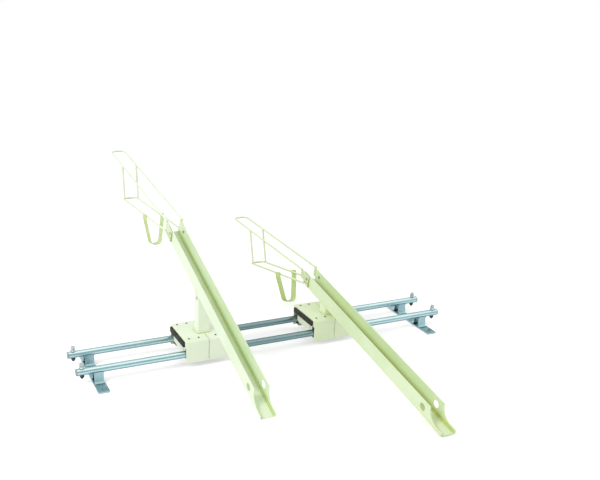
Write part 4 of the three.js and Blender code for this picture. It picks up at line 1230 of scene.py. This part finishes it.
def makeCradle(prefix, rack, where, beads):
    half = cradle["width"] / 2
    arm = barOffset + barRadius + gap + cradle["thickness"] / 2
    floor, low = cradle["floor"] / 2, -cradle["depth"]
    route = roundOff([flat(-arm, cradle["lip"]), flat(-arm, -cradle["shoulder"]), flat(-floor, low),
                      flat(floor, low), flat(arm, -cradle["shoulder"]), flat(arm, cradle["lip"])],
                     cradle["bend"], 10)
    shape = bmesh.new()
    addStrip(shape, route, cradle["thickness"], -half, half, frontView)
    hang = (Matrix.Translation(lowerAt(rack, rack["cradleReach"]))
            @ Matrix.Rotation(math.radians(-cradle["lean"]), 4, "X"))
    putPiece(prefix + "_tyre_cradle_strap", shape, prefix + "_rack", strapPaint[prefix],
             [prefix + "_tyre_cradle"], where @ hang, cradle["edge"])
    for side in (-1, 1):
        x = side * (barOffset + barRadius - weld["barSunk"])
        for lift in (-1, 1):
            z = lift * barRadius * weld["liftShare"]
            addBead(beads, [hang @ Vector((x, y, z))
                            for y in (-half + weld["strapInset"], half - weld["strapInset"])], weld["bead"])


def makeHolder(prefix, rack):
    where = slopePlace(rack) @ Matrix.Translation((0, rack["holderAt"], 0))
    beads = bmesh.new()
    makeUpperLoop(prefix, rack, where)
    makeBrackets(prefix, rack, where, beads)
    makeLowerLoop(prefix, rack, where, beads)
    makeUprights(prefix, rack, where, beads)
    makeCradle(prefix, rack, where, beads)
    putPiece(prefix + "_holder_welds", beads, prefix + "_rack", holderPaint[prefix],
             where=where)


for prefix, rack in racks.items():
    makeCarriage(prefix, rack)
    makePost(prefix, rack)
    makeChannel(prefix, rack)
    makeHolder(prefix, rack)
    print(prefix, "rack made")


# Floor, light and camera
studio = {"floor": (0.80, 0.80, 0.80, 1), "roughness": 0.9, "specular": 0.1, "lift": 0.43,
          "floorHalf": 30, "holeShade": (0.02, 0.02, 0.02, 1), "holeShadeRadius": 0.0058,
          "holeShadeEdge": 0.0008, "world": 0.78}
lamps = {"key_lamp": {"place": (-3.6, -1.3, 3.2), "aim": (-0.1, -0.1, 0.2), "size": 1.8, "power": 84.0},
         "fill_lamp": {"place": (2.6, -3.2, 2.4), "aim": (0.1, 0, 0.2), "size": 2.6, "power": 10.0}}


def seenDirectly(tree):  # 1 where the camera, a reflection or glass looks straight at it
    path = addNode(tree, "LightPath")
    first = addNode(tree, "Math", {}, {0: path.outputs["Is Camera Ray"],
                                       1: path.outputs["Is Glossy Ray"]}, operation="MAXIMUM")
    both = addNode(tree, "Math", {}, {0: first.outputs[0], 1: path.outputs["Is Transmission Ray"]},
                   operation="MAXIMUM")
    return both.outputs[0]


def makeFloor():
    shape = bmesh.new()
    half = studio["floorHalf"]
    shape.faces.new([shape.verts.new((x * half, y * half, 0))
                     for x, y in ((-1, -1), (1, -1), (1, 1), (-1, 1))])
    mesh = bpy.data.meshes.new("studio_floor")
    shape.to_mesh(mesh)
    shape.free()
    floor = bpy.data.objects.new("studio_floor", mesh)
    scene.collection.objects.link(floor)
    finish, tree, shader = newFinish("studio_floor_white", studio["roughness"])
    point = surfacePoint(tree)
    shadedHoles = None  # painted shade: dark spots on the floor under the holes in the feet
    for side in (-1, 1):
        for y in (-foot["holeReach"], rail["gauge"] + foot["holeReach"]):
            centre = toScene @ Vector((side * (railHalf - foot["inset"]), y, 0))
            away = addNode(tree, "VectorMath", {1: (centre.x, centre.y, 0)}, {0: point},
                           operation="DISTANCE").outputs["Value"]
            hole = remap(tree, away, studio["holeShadeRadius"], studio["holeShadeRadius"] - studio["holeShadeEdge"])
            if shadedHoles is None:
                shadedHoles = hole
            else:
                either = addNode(tree, "Math", {}, {0: shadedHoles, 1: hole}, operation="MAXIMUM")
                shadedHoles = either.outputs[0]
    colour = mixColour(tree, shadedHoles, studio["floor"], studio["holeShade"])
    tree.links.new(colour, shader.inputs["Base Color"])
    shader.inputs["Specular IOR Level"].default_value = studio["specular"]
    shader.inputs["Emission Color"].default_value = (1, 1, 1, 1)
    lift = multiply(tree, seenDirectly(tree), studio["lift"])
    # the floor's lift is left out at the painted shade spots
    lift = multiply(tree, lift, remap(tree, shadedHoles, 0, 1, 1, 0))
    tree.links.new(lift, shader.inputs["Emission Strength"])
    mesh.materials.append(finish)


def makeWorld():
    world = bpy.data.worlds.new("studio_world")
    world.use_nodes = True
    scene.world = world
    tree = world.node_tree
    background = tree.nodes["Background"]
    background.inputs["Color"].default_value = (1, 1, 1, 1)
    strength = remap(tree, seenDirectly(tree), 0, 1, studio["world"], 1.0)
    tree.links.new(strength, background.inputs["Strength"])


def makeLamp(name, place, aim, size, power):
    lamp = bpy.data.lights.new(name, "AREA")
    lamp.shape = "DISK"
    lamp.size = size
    lamp.energy = power
    stand = bpy.data.objects.new(name, lamp)
    scene.collection.objects.link(stand)
    stand.location = place
    stand.rotation_euler = (Vector(aim) - Vector(place)).to_track_quat("-Z", "Y").to_euler()


view = {"lens": 46.986, "shift": 100 / 600, "place": (-1.305, -2.779, 1.440),
        "turn": (71.109, -0.538, -21.229)}


def makeCamera():
    camera = bpy.data.cameras.new("photo_camera")
    camera.sensor_width = 36
    camera.lens = view["lens"]
    camera.shift_x = view["shift"]
    tripod = bpy.data.objects.new("photo_camera", camera)
    scene.collection.objects.link(tripod)
    tripod.location = view["place"]
    tripod.rotation_euler = [math.radians(angle) for angle in view["turn"]]
    scene.camera = tripod


makeFloor()
makeWorld()
for name, lamp in lamps.items():
    makeLamp(name, lamp["place"], lamp["aim"], lamp["size"], lamp["power"])
makeCamera()
scene.view_settings.view_transform = "Standard"
print("studio made")
